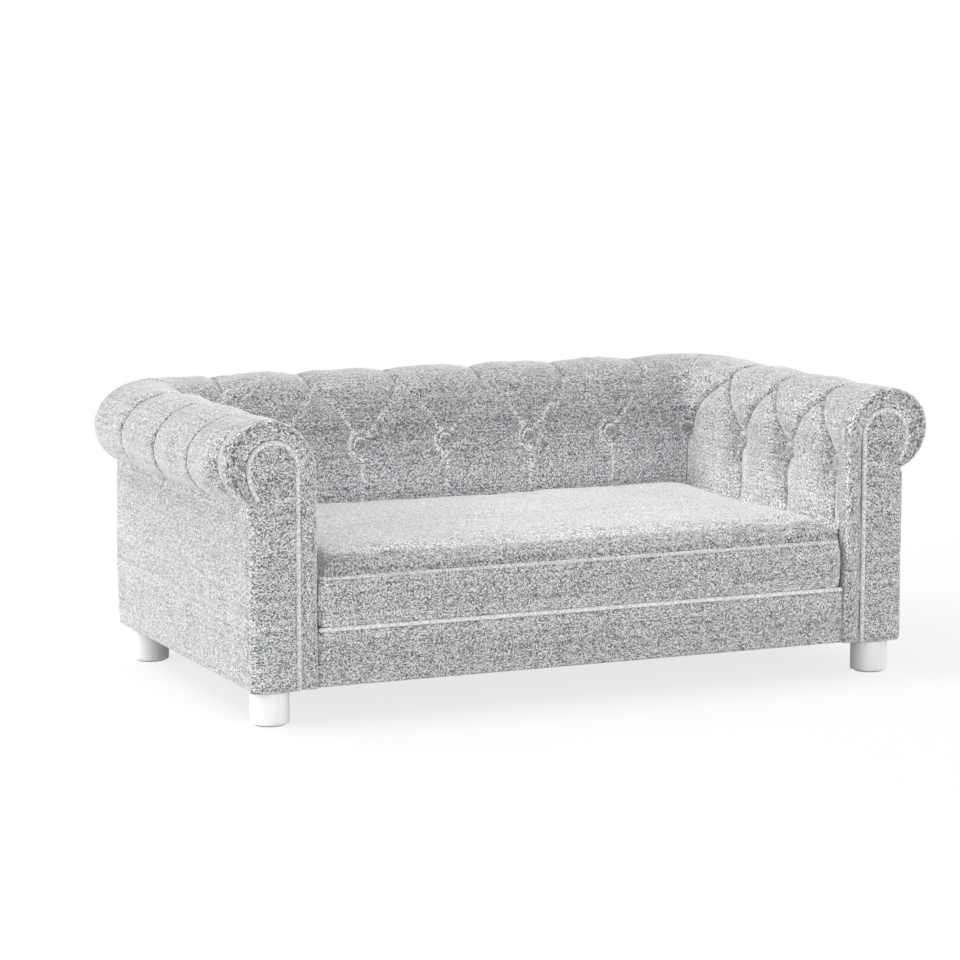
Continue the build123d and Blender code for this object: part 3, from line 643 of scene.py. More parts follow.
def tufted(places, columns, inset=0.0, arm=True):
    """The buttoned skin. Each row is a section of the roll at a place round the seat: a straight inner face,
    a shoulder arc, an outer arc and an arc that turns under. Round each inner corner the sections fan about
    an upright axis. The drawn-in depth is taken along the section's normal."""
    places, s, angle, side = corner_place(places)
    x_line, y_line = seat_line(s)
    share = angle / QUARTER
    past = np.maximum(0, share * 2 - 1)
    from_band = y_line - BAND_REAR
    cinch = np.clip(1 - from_band / CINCH_LENGTH, 0, 1) ** 1.6
    shoulder = ROLL_SHOULDER + CORNER_SHOULDER * share
    out = ROLL_OUT + CORNER_OUT * share - CINCH * cinch
    top = ROLL_TOP + CORNER_TOP * bell(share, 0.5, 0.42)
    spring = top - shoulder
    fall = out - INNER_RADIUS - shoulder
    drop = ROLL_DROP * fall
    outer_z = top - drop
    end_r = ((np.cos(angle) / UNDER_X) ** 10 + (np.sin(angle) / UNDER_Y) ** 10) ** -0.1
    across, down = out - end_r, outer_z - ROLL_END
    under = (across ** 2 + down ** 2) / (2 * across)
    under_turn = np.arctan2(down, end_r - out + under)
    foot = ARM_FOOT + CORNER_FOOT * np.minimum(1, share * 2) + BACK_FOOT * past
    z = DECK_TOP + (spring - DECK_TOP) * columns[0]
    lower = BACK_FOOT_DROP * past
    tuck = 1 - ease(FOOT_LOW - lower, FOOT_HIGH - lower, z)
    blocks = [(INNER_RADIUS + (foot - INNER_RADIUS) * tuck, z, -1 + 0 * z, 0 * z, z)]
    turn = columns[1][None, :] * QUARTER
    blocks.append((INNER_RADIUS + shoulder * (1 - np.cos(turn)), spring + shoulder * np.sin(turn),
                   -np.cos(turn), np.sin(turn), spring + shoulder * turn))
    turn = columns[2][None, :] * QUARTER
    start = spring + shoulder * QUARTER
    size = np.hypot(drop * np.sin(turn), fall * np.cos(turn))
    blocks.append((INNER_RADIUS + shoulder + fall * np.sin(turn), outer_z + drop * np.cos(turn),
                   drop * np.sin(turn) / size, fall * np.cos(turn) / size,
                   start + fall * turn + (drop - fall) * turn ** 2 / HALF_TURN))
    turn = columns[3][None, :] * under_turn
    start = start + (fall + drop) * HALF_TURN / 4
    blocks.append((out - under + under * np.cos(turn), outer_z - under * np.sin(turn),
                   np.cos(turn), -np.sin(turn), start + under * turn))
    end = start + under * under_turn
    r, z, normal_r, normal_z, t = [
        np.concatenate([np.broadcast_to(b[k], (len(places), b[1].shape[1])) for b in blocks], 1)
        for k in range(5)]
    depth, painted_shade_and_light = tuft_depth(s, t, end, side)
    # Painted light on the sections: painted shade over the back's upper face and crest, a painted highlight
    # where the section ends under the roll, and on the arms painted shade along the outer roll with a painted
    # highlight over the inner face and shoulder.
    crest = 0.22 * ease(0.27, 0.33, t) + 0.33 * ease(0.355, 0.405, t)
    painted_shade_and_light = painted_shade_and_light - 0.35 * ease(end - 0.016, end - 0.004, t) + share * crest * (1 - ease(0.455, 0.500, t))
    painted_shade_and_light = painted_shade_and_light + (1 - share) * (0.15 * bell(t, 0.475, 0.045) - 0.11 * (1 - ease(0.39, 0.44, t)))
    depth = depth + 0.0007 * ripple(places, t, 0.055, 3) + 0.0003 * ripple(places, t, 0.019, 4)
    depth = depth * (ease(0.110, 0.130, t) if not inset else 1)
    depth = depth * (1 - np.exp(-from_band / 0.012)) + inset
    depth = depth + 0.0035 * np.exp(-from_band / 0.005) * (1 if inset else ease(0.200, 0.240, t))
    r, z = r - normal_r * depth, z - normal_z * depth
    points = joined(side * (x_line + r * np.cos(angle)), y_line + r * np.sin(angle), z)
    if arm:
        u = np.minimum(s, 0) + r * angle
    else:
        u = np.maximum(s - FAN_END, 0) - r * (QUARTER - angle)
        u = np.where(places > MIDDLE, 2 * PIVOT_X - u, u)
    return patch(points, joined(u, t), painted_shade_and_light)


def section_columns(step):
    """Shares along the four stretches of a section, closest together round the buttons and pleats."""
    levels = [np.linspace(0, 0.34, 7), np.arange(0.36, 0.56, step * 8), np.arange(0.56, 0.999, step * 5)]
    return [np.concatenate(levels), np.arange(0, 1, step * 10), np.arange(0, 1, step * 13),
            np.append(np.arange(0, 0.999, step * 28), 1.0)]


def between(low, high, step, anchors=()):
    """Places from low to high at a step, with a place on each anchor."""
    stops = [low] + [a for a in sorted(anchors) if low < a < high] + [high]
    runs = [np.linspace(a, b, max(2, int(round((b - a) / step)) + 1))[:-1] for a, b in zip(stops, stops[1:])]
    return np.append(np.concatenate(runs), high)


ANCHORS = sorted({round(one, 6) for row in button_places() for one in row} | {0.0, FAN_END})
ANCHORS = ANCHORS + [2 * MIDDLE - a for a in ANCHORS]


def tuft_rows(arm, step):
    """Places of the sections: along the arm to the mitre in the corner, or along the back between mitres."""
    fan_count = int(0.05 / step)
    if arm:
        straight = between(BAND_REAR - PIVOT_Y, 0.0, step, ANCHORS)
        return np.append(straight[:-1], np.linspace(0, FAN_END / 2, fan_count))
    corner = np.linspace(FAN_END / 2, FAN_END, fan_count)
    straight = between(FAN_END, 2 * MIDDLE - FAN_END, step * 1.2, ANCHORS)
    return np.concatenate([corner[:-1], straight, (2 * MIDDLE - corner[::-1])[1:]])


def foam_block(arm):
    """The foam under the skin: the skin's sections drawn in by the cloth, closed along the boards."""
    places = tuft_rows(arm, FOAM_STEP)
    points, uv, _ = tufted(places, section_columns(FOAM_COLUMNS), inset=CLOTH + FOAM_GAP, arm=arm)
    _, s, angle, side = corner_place(places)
    reach = BOARD_GAP / np.maximum(np.cos(angle), np.sin(angle))
    x_line, y_line = seat_line(s)
    board = np.concatenate([side * (x_line + reach * np.cos(angle)), y_line + reach * np.sin(angle)], 1)
    last, first = points[:, -1], points[:, 0]
    closing = np.stack([last, raised(last[:, :2], PLANK_LOW), raised(board, PLANK_LOW),
                        raised(board, first[:, 2]), first], 1)
    loop = np.concatenate([points, closing[:, 1:-1], points[:, :1]], 1)
    return [patch(points, uv), patch(closing)] + end_caps(loop)


def tufted_covers():
    """The skins of the arms and the back with their foam."""
    columns = section_columns(SKIN_COLUMNS)
    how = {"slot": "upholstery", "wall": CLOTH, "fill": SKIN_FILL}
    pair("arm_cover", "cloth", flipped([tufted(tuft_rows(True, SKIN_STEP), columns)]), **how)
    piece("back_cover_cloth", flipped([tufted(tuft_rows(False, SKIN_STEP), columns, arm=False)]), **how)
    pair("arm_foam", "pad", flipped(foam_block(True)), "padding_foam", fill=FOAM_FILL)
    piece("back_foam_pad", flipped(foam_block(False)), "padding_foam", fill=FOAM_FILL)


# A button's section: radius and height, in millimetres
BUTTON_PROFILE = np.array([(0.0, -0.6), (6.0, -0.6), (9.4, -0.4), (10.2, 0.3), (10.6, 1.1), (10.5, 2.1),
                           (9.9, 3.1), (8.9, 4.0), (7.6, 4.8), (6.0, 5.5), (4.2, 6.0), (2.2, 6.3), (0.8, 6.4),
                           (0.0, 6.4)]) * MM
# Strength of the painted highlight round a button's rim, on the arms and on the back.
ARM_RIM_HIGHLIGHT, BACK_RIM_HIGHLIGHT = 0.2, 0.8


def button_patch(seat, facing, rim_highlight):
    """A covered button: a domed disc whose cloth is gathered round its rim in small pleats."""
    angle = circle(73).T
    radius, height = BUTTON_PROFILE.T[:, None, :]
    pleats = 0.00035 * np.cos(12 * angle + 0.6 * np.sin(3 * angle)) * ease(0.006, 0.0100, radius)
    radius = radius + pleats
    facing, up = np.array(facing), np.array([0.0, 0.0, 1.0])
    points = (np.array(seat) + (radius * np.cos(angle))[..., None] * np.cross(up, facing)
              + (radius * np.sin(angle))[..., None] * up + (height + 0 * angle)[..., None] * facing)
    uv = joined(radius * np.cos(angle), radius * np.sin(angle)) + 0.3
    # Painted shade where the button meets the cloth and over its middle, and a painted highlight round its
    # rim.
    painted_shade_and_light = 0.6 * (1 - ease(0.0, 0.0012, height)) + 0.35 * (1 - ease(0.0045, 0.007, radius))
    painted_shade_and_light = painted_shade_and_light - rim_highlight * bell(radius, 0.0090, 0.0016) * ease(0.0008, 0.002, height)
    return patch(points, uv, painted_shade_and_light)


def buttons():
    """All thirteen covered buttons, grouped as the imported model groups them."""
    deep = INNER_RADIUS + BUTTON_SINK
    slant = np.sqrt(0.5)
    arm_x, back_y = PIVOT_X + deep, PIVOT_Y + deep
    corner_x, corner_y = PIVOT_X + deep * slant, PIVOT_Y + deep * slant
    groups = {
        "arm_buttons_right": [((arm_x, y), (-1.0, 0, 0), ARM_RIM_HIGHLIGHT) for y in ARM_BUTTONS],
        "arm_buttons_left": [((-arm_x, y), (1.0, 0, 0), ARM_RIM_HIGHLIGHT) for y in ARM_BUTTONS],
        "back_buttons": [((x, back_y), (0, -1.0, 0), BACK_RIM_HIGHLIGHT) for x in BACK_BUTTONS],
        "corner_buttons": [((hand * corner_x, corner_y), (-hand * slant, -slant, 0), BACK_RIM_HIGHLIGHT)
                           for hand in (1, -1)],
    }
    for node, seats in groups.items():
        patches = [button_patch((*seat, BUTTON_LEVEL), facing, rim_highlight) for seat, facing, rim_highlight in seats]
        piece(node + "_covered", patches, "button_fabric")


# Arm fronts
PIPING_Y, PIPING_RADIUS = -0.2925, 0.0029
BAND_SEAM, BAND_FRONT, BAND_EDGE, BAND_BACK, BAND_WIDTH = -0.2888, -0.295, 0.0095, -0.2668, 0.026
GATHER, GATHER_PITCH = 0.0011, 0.0085
FACING_Y, FACING_CROWN, FACING_EDGE, FACING_CORNER = -0.2890, 0.0038, 0.0078, 0.013
SCROLL_X, SCROLL_TOP, SCROLL = 0.4195, 0.344, 0.031
SCROLL_END, SPAN_TOP, EDGE_TOP = (0.439, 0.276), 0.262, 0.272
OUTER_CREST_X, OUTER_TOP, OUTER_FALL, OUTER_DROP = 0.426, 0.371, 0.0565, 0.88
CORD_PITCH = 0.006


def roll_line(x, crest_x, crest_z, shoulder, fall, end, drop=1.0):
    """The front outline of a roll, as points of X and Z: straight up, over the shoulder arc, down the outer
    arc (an ellipse's, its height a share of its width) and along the arc that turns under to its end."""
    spring, outer_z, out = crest_z - shoulder, crest_z - fall * drop, crest_x + fall
    across, down = out - end[0], outer_z - end[1]
    under = (across ** 2 + down ** 2) / (2 * across)
    under_turn = np.arctan2(down, end[0] - out + under)
    straight = np.linspace(BODY_LOW, spring, 120)[:-1]
    turn = np.linspace(0, QUARTER, 56)[:-1]
    tuck = np.linspace(0, under_turn, 36)
    xs = [0 * straight + x, crest_x - shoulder * np.cos(turn), crest_x + fall * np.sin(turn),
          out - under + under * np.cos(tuck)]
    zs = [straight, spring + shoulder * np.sin(turn), outer_z + fall * drop * np.cos(turn),
          outer_z - under * np.sin(tuck)]
    return joined(np.concatenate(xs), np.concatenate(zs))


FACING_LINE = roll_line(SCROLL_X - SCROLL, SCROLL_X, SCROLL_TOP, SCROLL, SCROLL, SCROLL_END)
OUTER_LINE = roll_line(PIVOT_X + INNER_RADIUS, OUTER_CREST_X, OUTER_TOP, ROLL_SHOULDER, OUTER_FALL,
                       (BODY_X, ROLL_END), OUTER_DROP)


def arm_band():
    """The gathered band round an arm's front, between the piping and the outline: a low crown, a rounded
    edge and a side that runs back to the arm's skin. The gathers are a wave of uneven length, sharpened
    towards its valleys."""
    crown = np.linspace(0, 1, 14)
    bend = np.linspace(0, QUARTER, 12)[1:]
    back = np.linspace(0, 1, 6)[1:]
    width = np.concatenate([0.68 * crown, 0.68 + 0.32 * np.sin(bend), 1 + 0 * back])[None, :]
    edge_end = BAND_FRONT + BAND_EDGE
    y = np.concatenate([BAND_SEAM - (BAND_SEAM - BAND_FRONT) * np.sin(crown * QUARTER),
                        BAND_FRONT + BAND_EDGE * (1 - np.cos(bend)),
                        edge_end + (BAND_BACK - edge_end) * back])[None, :]
    along = lengths(FACING_LINE)[:, None]
    round_part = ease(0.225, 0.285, along) * (1 - ease(0.395, 0.418, along) * 0.4)
    wave = np.sin(along * TURN / GATHER_PITCH + 1.7 * np.sin(along * 190) + 0.9 * np.sin(along * 83))
    gathers = GATHER * (np.abs(wave) ** 0.8 * np.sign(wave) * 0.5 + 0.25 * np.sin(along * 1310))
    gathers = gathers * round_part * (1 - 0.6 * width)
    full = gathers + 0.0006 * ripple(along, width * 0.03, 0.045, 11)
    across = OUTER_LINE - FACING_LINE
    outwards = (across / np.linalg.norm(across, axis=1)[:, None])[:, None]
    side = ease(0.66, 1.0, width)
    seam = 0.0014 * ease(-0.278, -0.271, y)
    place = FACING_LINE[:, None] + across[:, None] * width[..., None]
    place = place + outwards * (full * side - seam)[..., None]
    depth = y - full * (1 - side) + 0.004 * (1 - ease(0.0, 0.004, along)) * (1 - side)
    # Painted shade in the gathers' valleys, next to the piping and over the scroll's outer upper quarter,
    # with painted highlights along the crown on the round part and on the rounded edge.
    painted_shade_and_light = np.clip(-gathers / GATHER, 0, 1) * 0.5 + 0.4 * (1 - ease(0.0, 0.07, width))
    painted_shade_and_light = painted_shade_and_light - 0.4 * bell(width, 0.19, 0.09) * round_part - 0.2 * bell(width, 0.94, 0.05) * (y < -0.283)
    painted_shade_and_light = painted_shade_and_light + 0.35 * window(0.312, 0.335, 0.392, 0.410, along) * bell(width, 0.62, 0.34)
    v = lengths(joined(width[0] * BAND_WIDTH, y[0]))
    return [patch(joined(place[..., 0], depth, place[..., 1]), joined(along, v), painted_shade_and_light)]


def arm_facing():
    """The padded panel inside the piping: level spans from the inner line to the outer one, crowned by the
    distance from the nearest edge, with a rounded outer edge below the scroll."""
    crest = np.argmax(FACING_LINE[:, 1])
    left, right = FACING_LINE[:crest + 1], FACING_LINE[crest:][::-1]
    high = ROLL_END + (SCROLL_TOP - ROLL_END) * np.sin(np.linspace(0, QUARTER, 90))[1:]
    levels = np.concatenate([np.linspace(BODY_LOW, ROLL_END, 110), high])
    inner = np.interp(levels, left[:, 1], left[:, 0])[:, None]
    scroll = np.interp(levels, right[:, 1], right[:, 0])
    step = np.where(levels < SCROLL_END[1], BODY_X - (levels - ROLL_END), scroll)
    outer = np.where(levels < ROLL_END, BODY_X, step)[:, None]
    share = (1 - np.cos(np.linspace(0, HALF_TURN, 48))) / 2
    z = levels[:, None]
    x = inner + (outer - inner) * share
    to_left, to_right = x - inner, outer - x
    round_gap = SCROLL - np.hypot(x - SCROLL_X, z - SCROLL_TOP + SCROLL)
    gap = np.minimum(to_left, np.where(z < SPAN_TOP, 1.0, to_right))
    gap = np.where(z > SCROLL_TOP - SCROLL, round_gap, gap)
    crown = FACING_CROWN * (1 - np.exp(-np.maximum(gap, 0) / 0.007))
    edge = np.where(z < EDGE_TOP, np.maximum(1 - to_right / FACING_CORNER, 0), 0)
    y = FACING_Y - crown - 0.0004 * ripple(x, z, 0.05, 21) + FACING_EDGE * (1 - np.sqrt(1 - edge ** 2))
    y = y + 0.003 * (1 - ease(0, 0.004, z - BODY_LOW))
    points = joined(x, y, z)
    side = points[:, -1:].copy()
    side[..., 1] = np.where(z < EDGE_TOP, COVER_FRONT + 0.0006, side[..., 1] + 0.002)
    points = np.concatenate([points, side], 1)
    run = np.cumsum(np.linalg.norm(np.diff(points, axis=1), axis=2), axis=1)
    run = np.concatenate([inner, inner + run], 1)
    return [patch(points, joined(run, points[..., 2]))]


def piping_tube():
    """The covered cord on the facing's line: a tube with closed ends and slight pulls across it."""
    along = lengths(FACING_LINE)
    heading = np.gradient(FACING_LINE, along, axis=0)
    angle = circle(21)
    pulls = 0.00015 * np.sin(along * TURN / CORD_PITCH)[:, None] * (0.5 + 0.5 * np.sin(angle + 1))
    radius = (PIPING_RADIUS + pulls) * np.maximum(rounded(along[-1] - along, 0.002), 0.02)[:, None]
    line = joined(FACING_LINE[:, 0], PIPING_Y, FACING_LINE[:, 1])
    side = joined(-heading[:, 1], 0.0, heading[:, 0])
    # The cord gets a painted highlight.
    cord = tube(line, side, (0, -1, 0), radius, angle, along[:, None], 0.0025, -0.15)
    return flipped([cord] + end_caps(cord[0]))


def arm_fronts():
    """Band, facing and piping of both arms."""
    band, facing, cord = arm_band(), arm_facing(), piping_tube()
    for side, turn in (("right", list), ("left", mirrored)):
        piece(f"arm_front_band_{side}_gathered", turn(band), "upholstery", wall=THIN_CLOTH)
        piece(f"arm_facing_{side}_panel", turn(facing), "upholstery", wall=THIN_CLOTH, fill=0.5)
        piece(f"arm_piping_{side}_cord", turn(cord), "piping")


# Outside covers, rail and linings
COVER_TOP, HEM_RADIUS, HEM_DEPTH, COVER_FULL = 0.282, 0.004, 0.003, 0.0016


def cover_panel(line, outwards, ends, z, soft):
    """A flat cloth panel on an upright line, a little full, turned in at its lower edge."""
    full = COVER_FULL * window(0.045, 0.075, 0.245, 0.268, z)
    edge = HEM_DEPTH * (1 - rounded(z - BODY_LOW, HEM_RADIUS))
    proud = (full + soft * ease(0.045, 0.06, z)) * ends - edge
    return raised(line[:, None] + outwards[:, None] * proud[..., None], z)


def outside_covers():
    """Cloth of the outer sides and the back: panels from the hem to under the roll."""
    z = np.concatenate([BODY_LOW + HEM_RADIUS * (1 - np.cos(np.linspace(0, QUARTER, 7))),
                        np.linspace(0.050, COVER_TOP, 84)])[None, :]
    straight_x, straight_y = BODY_X - BODY_CORNER, BODY_Y - BODY_CORNER
    corner = np.linspace(0, QUARTER, 12)[1:]
    y = np.linspace(COVER_FRONT, straight_y, 170)
    line = joined(np.append(0 * y + BODY_X, straight_x + BODY_CORNER * np.cos(corner)),
                  np.append(y, straight_y + BODY_CORNER * np.sin(corner)))
    along = lengths(line)
    heading = np.gradient(line, along, axis=0)
    outwards = joined(heading[:, 1], -heading[:, 0])
    along = along[:, None]
    soft = 0.0006 * ripple(along, z, 0.09, 31) + 0.00025 * ripple(along, z, 0.03, 32)
    points = cover_panel(line, outwards, ease(0.0, 0.012, along), z, soft)
    # Painted shade over the panel, and a painted highlight near its top under the roll.
    painted_light = 0.12 - 0.47 * ease(0.247, 0.262, z)
    side = [patch(points, joined(along * 0.65, z), painted_light)]
    pair("outside_arm_cover", "cloth", side, "upholstery", wall=CLOTH)
    across = np.linspace(straight_x, -straight_x, 260)
    line, outwards = joined(across, BODY_Y), np.array([[0.0, 1.0]])
    across = across[:, None]
    soft = 0.0008 * ripple(across, z, 0.11, 33) + 0.0003 * ripple(across, z, 0.04, 34)
    points = cover_panel(line, outwards, ease(0.0, 0.012, straight_x - np.abs(across)), z, soft)
    piece("outside_back_cover_cloth", [patch(points, joined(-across, z))], "upholstery", wall=CLOTH)


RAIL_HALF, RAIL_TOP, RAIL_EDGE = 0.3624, 0.1143, 0.0065
RAIL_FACE, RAIL_HEM, RAIL_LIP = -0.2876, -0.2845, -0.2816
RAIL_WELT_Y, RAIL_WELT_Z, RAIL_WELT_RADIUS = -0.2878, 0.1139, 0.0027


def rail_cover():
    """The front rail's cover: a panel with a soft face, a full upper edge and a turned lower edge, and a
    corded welt along its upper edge."""
    bend = np.linspace(0, QUARTER, 12)
    hem = np.linspace(0, QUARTER, 6)
    z = np.concatenate([BODY_LOW + 0.003 * (1 - np.cos(hem)), np.linspace(0.050, 0.106, 30),
                        RAIL_TOP - RAIL_EDGE * (1 - np.sin(bend)), [RAIL_TOP] * 4])
    y = np.concatenate([RAIL_HEM - 0.003 * np.sin(hem), np.full(30, RAIL_FACE),
                        RAIL_LIP - RAIL_EDGE * np.cos(bend), [-0.279, -0.276, -0.274, -0.2722]])
    v, y, z = lengths(joined(z, y)), y[None, :], z[None, :]
    x = between(-RAIL_HALF, RAIL_HALF, 0.003)[:, None]
    soft = 0.0006 * ripple(x, z, 0.08, 41) + 0.0003 * ripple(x, z, 0.025, 42)
    face = window(0.047, 0.055, 0.112, RAIL_TOP, z)
    from_end = RAIL_HALF + 0.0003 - np.abs(x)
    tucked = 0.0015 * (1 - ease(0.0, 0.006, from_end))
    full = 0.0010 * np.sin(HALF_TURN * (z - BODY_LOW) / 0.071) + soft
    depth = y - full * face * ease(0.0, 0.010, from_end) + tucked * face
    piece("front_rail_cover_cloth", [patch(joined(x, depth, z), joined(x, v))], "upholstery", wall=THIN_CLOTH)
    angle = circle(17)
    radius = RAIL_WELT_RADIUS + 0.00012 * np.sin(x * TURN / CORD_PITCH) * (0.5 + 0.5 * np.sin(angle))
    radius = radius * np.sqrt(np.clip((RAIL_HALF - np.abs(x)) / 0.002, 0, 1))
    line = joined(x[:, 0], RAIL_WELT_Y - 0.0003 * ripple(x[:, 0], 0, 0.08, 43), RAIL_WELT_Z)
    side = np.array([[0.0, -1.0, 0.0]])
    # The welt is the lighter piping linen with a further painted highlight.
    piece("front_rail_edge_welt", [tube(line, side, (0, 0, 1), radius, angle, x, 0.0026, -0.35)], "piping")


LINING_BEND, LINING_REAR, LINING_WIDE, LINING_NARROW = 0.138, 0.1697, 0.3598, 0.3508
LINING_TOP = 0.1148
DUST_HALF, DUST_REAR, DUST_CORNER, DUST_LEVEL, DUST_SAG = 0.443, 0.2345, 0.012, 0.0436, 0.0028


def linings():
    """The lining on the deck, drawn flat over its board, and the dust cover that hangs a little between
    its staples."""
    y = np.concatenate([np.linspace(BAND_REAR, LINING_BEND, 84),
                        np.linspace(LINING_BEND + 0.0001, LINING_REAR, 8)])[:, None]
    x = np.where(y <= LINING_BEND, LINING_WIDE, LINING_NARROW) * np.linspace(-1, 1, 150)[None, :]
    points = joined(x, y, LINING_TOP + 0.00012 * ripple(x, y, 0.10, 51))
    deck = piece("deck_cover_lining", flipped([patch(points, points[..., :2])]), "deck_cloth", wall=0.001)
    y = np.linspace(BAND_REAR, DUST_REAR, 120)[:, None]
    reach = np.clip(y - (DUST_REAR - DUST_CORNER), 0, DUST_CORNER)
    half = DUST_HALF - (DUST_CORNER - np.sqrt(np.maximum(DUST_CORNER ** 2 - reach ** 2, 0)))
    x = half * np.sin(np.linspace(-QUARTER, QUARTER, 180))[None, :]
    gap = np.minimum(np.minimum(y - BAND_REAR, DUST_REAR - y), DUST_HALF - np.abs(x))
    sag = DUST_SAG * ease(0.012, 0.16, gap) + 0.0003 * ripple(x, y, 0.07, 52) * ease(0.012, 0.05, gap)
    points = joined(x, y, DUST_LEVEL - sag)
    dust = piece("dust_cover_lining", [patch(points, points[..., :2])], "dust_cloth", wall=0.0008)


# Seat cushion and zip
CUSHION_HALF, CUSHION_FRONT, CUSHION_REAR = 0.360, -0.290, 0.1497
CUSHION_LOW, SEAM, CROWN = 0.1153, 0.1753, 0.0317
CUSHION_MIDDLE = (CUSHION_REAR + CUSHION_FRONT) / 2
CUSHION_CORNER, CROWN_REACH, FLAT_REACH = 0.012, 0.118, 0.115
BOX_DRAW, FOOT_DRAW, SEAM_DRAW, BOX_FULL = 0.0010, 0.0040, 0.0022, 0.0012
SPINE_HALF, SPINE_STEP = 0.1725, 0.00575
CHANNEL_DEPTH, CHANNEL_HALF, CHANNEL_END = 0.0077, 0.3125, 0.0040
# Lowest and highest level and soft edge: of the zip's channel, and of the cloth held still round it
CHANNEL_BAND, STILL_BAND = (0.1268, 0.1638, 0.0028), (0.122, 0.169, 0.004)
CROWN_SWELL, REAR_FULL = 0.0022, 0.0054
SEAM_WELT_RADIUS, SEAM_WELT_PULLS = 0.0021, 480
# The foam core's levels, with how far each is drawn in from the outline
CORE_LEVELS = ((0.1180, 0.009), (0.1240, 0.0045), (0.1275, 0.0045), (0.1276, 0.0120), (0.1632, 0.0120),
               (0.1633, 0.0045), (0.1690, 0.0060), (0.1780, 0.0125), (0.1860, 0.024), (0.1930, 0.046),
               (0.1990, 0.080), (0.2010, CROWN_REACH))


def cushion_ring(draw, corner):
    """Points round the cushion's rounded outline, drawn in by a distance, anticlockwise from the front."""
    half_y = (CUSHION_REAR - CUSHION_FRONT) / 2
    corners = [(1, -1), (1, 1), (-1, 1), (-1, -1)]
    counts = (84, 150, 84, 150)
    a, b = CUSHION_HALF - draw - corner, half_y - draw - corner
    rows = []
    for n, (side_x, side_y) in enumerate(corners):
        bend = np.linspace(0, QUARTER, 15) + (n - 1) * QUARTER
        rows.append(joined(side_x * a + corner * np.cos(bend), side_y * b + corner * np.sin(bend)))
        to_x, to_y = corners[(n + 1) % 4]
        start = rows[-1][-1]
        stop = np.array([to_x * a + corner * np.cos(n * QUARTER), to_y * b + corner * np.sin(n * QUARTER)])
        rows.append(start + (stop - start) * np.linspace(0, 1, counts[n])[1:-1, None])
    return np.concatenate(rows + [rows[0][:1]]) + np.array([0, CUSHION_MIDDLE])


def cushion_rings(draws, corners):
    """The outline drawn in by several distances, one column each."""
    return np.stack([cushion_ring(draw, corner) for draw, corner in zip(draws, corners)], 1)


def closed_in(rings, spine):
    """Rings with more columns that run straight in to the spine along the cushion's middle."""
    inwards = np.linspace(0, 1, 16)[None, 1:, None]
    last = rings[:, -1:]
    return np.concatenate([rings, last + (spine[:, None] - last) * inwards], 1)


def zip_zone(outline, z, low, high, edge):
    """One on the zip's part of the rear boxing between two levels, nought elsewhere, with soft edges."""
    rear = (outline[:, 1] > CUSHION_REAR - 0.0005)[:, None]
    open_x = (1 - ease(CHANNEL_HALF, CHANNEL_HALF + CHANNEL_END, np.abs(outline[:, 0])))[:, None]
    return np.where(rear, open_x * window(low, low + edge, high - edge, high, z), 0)


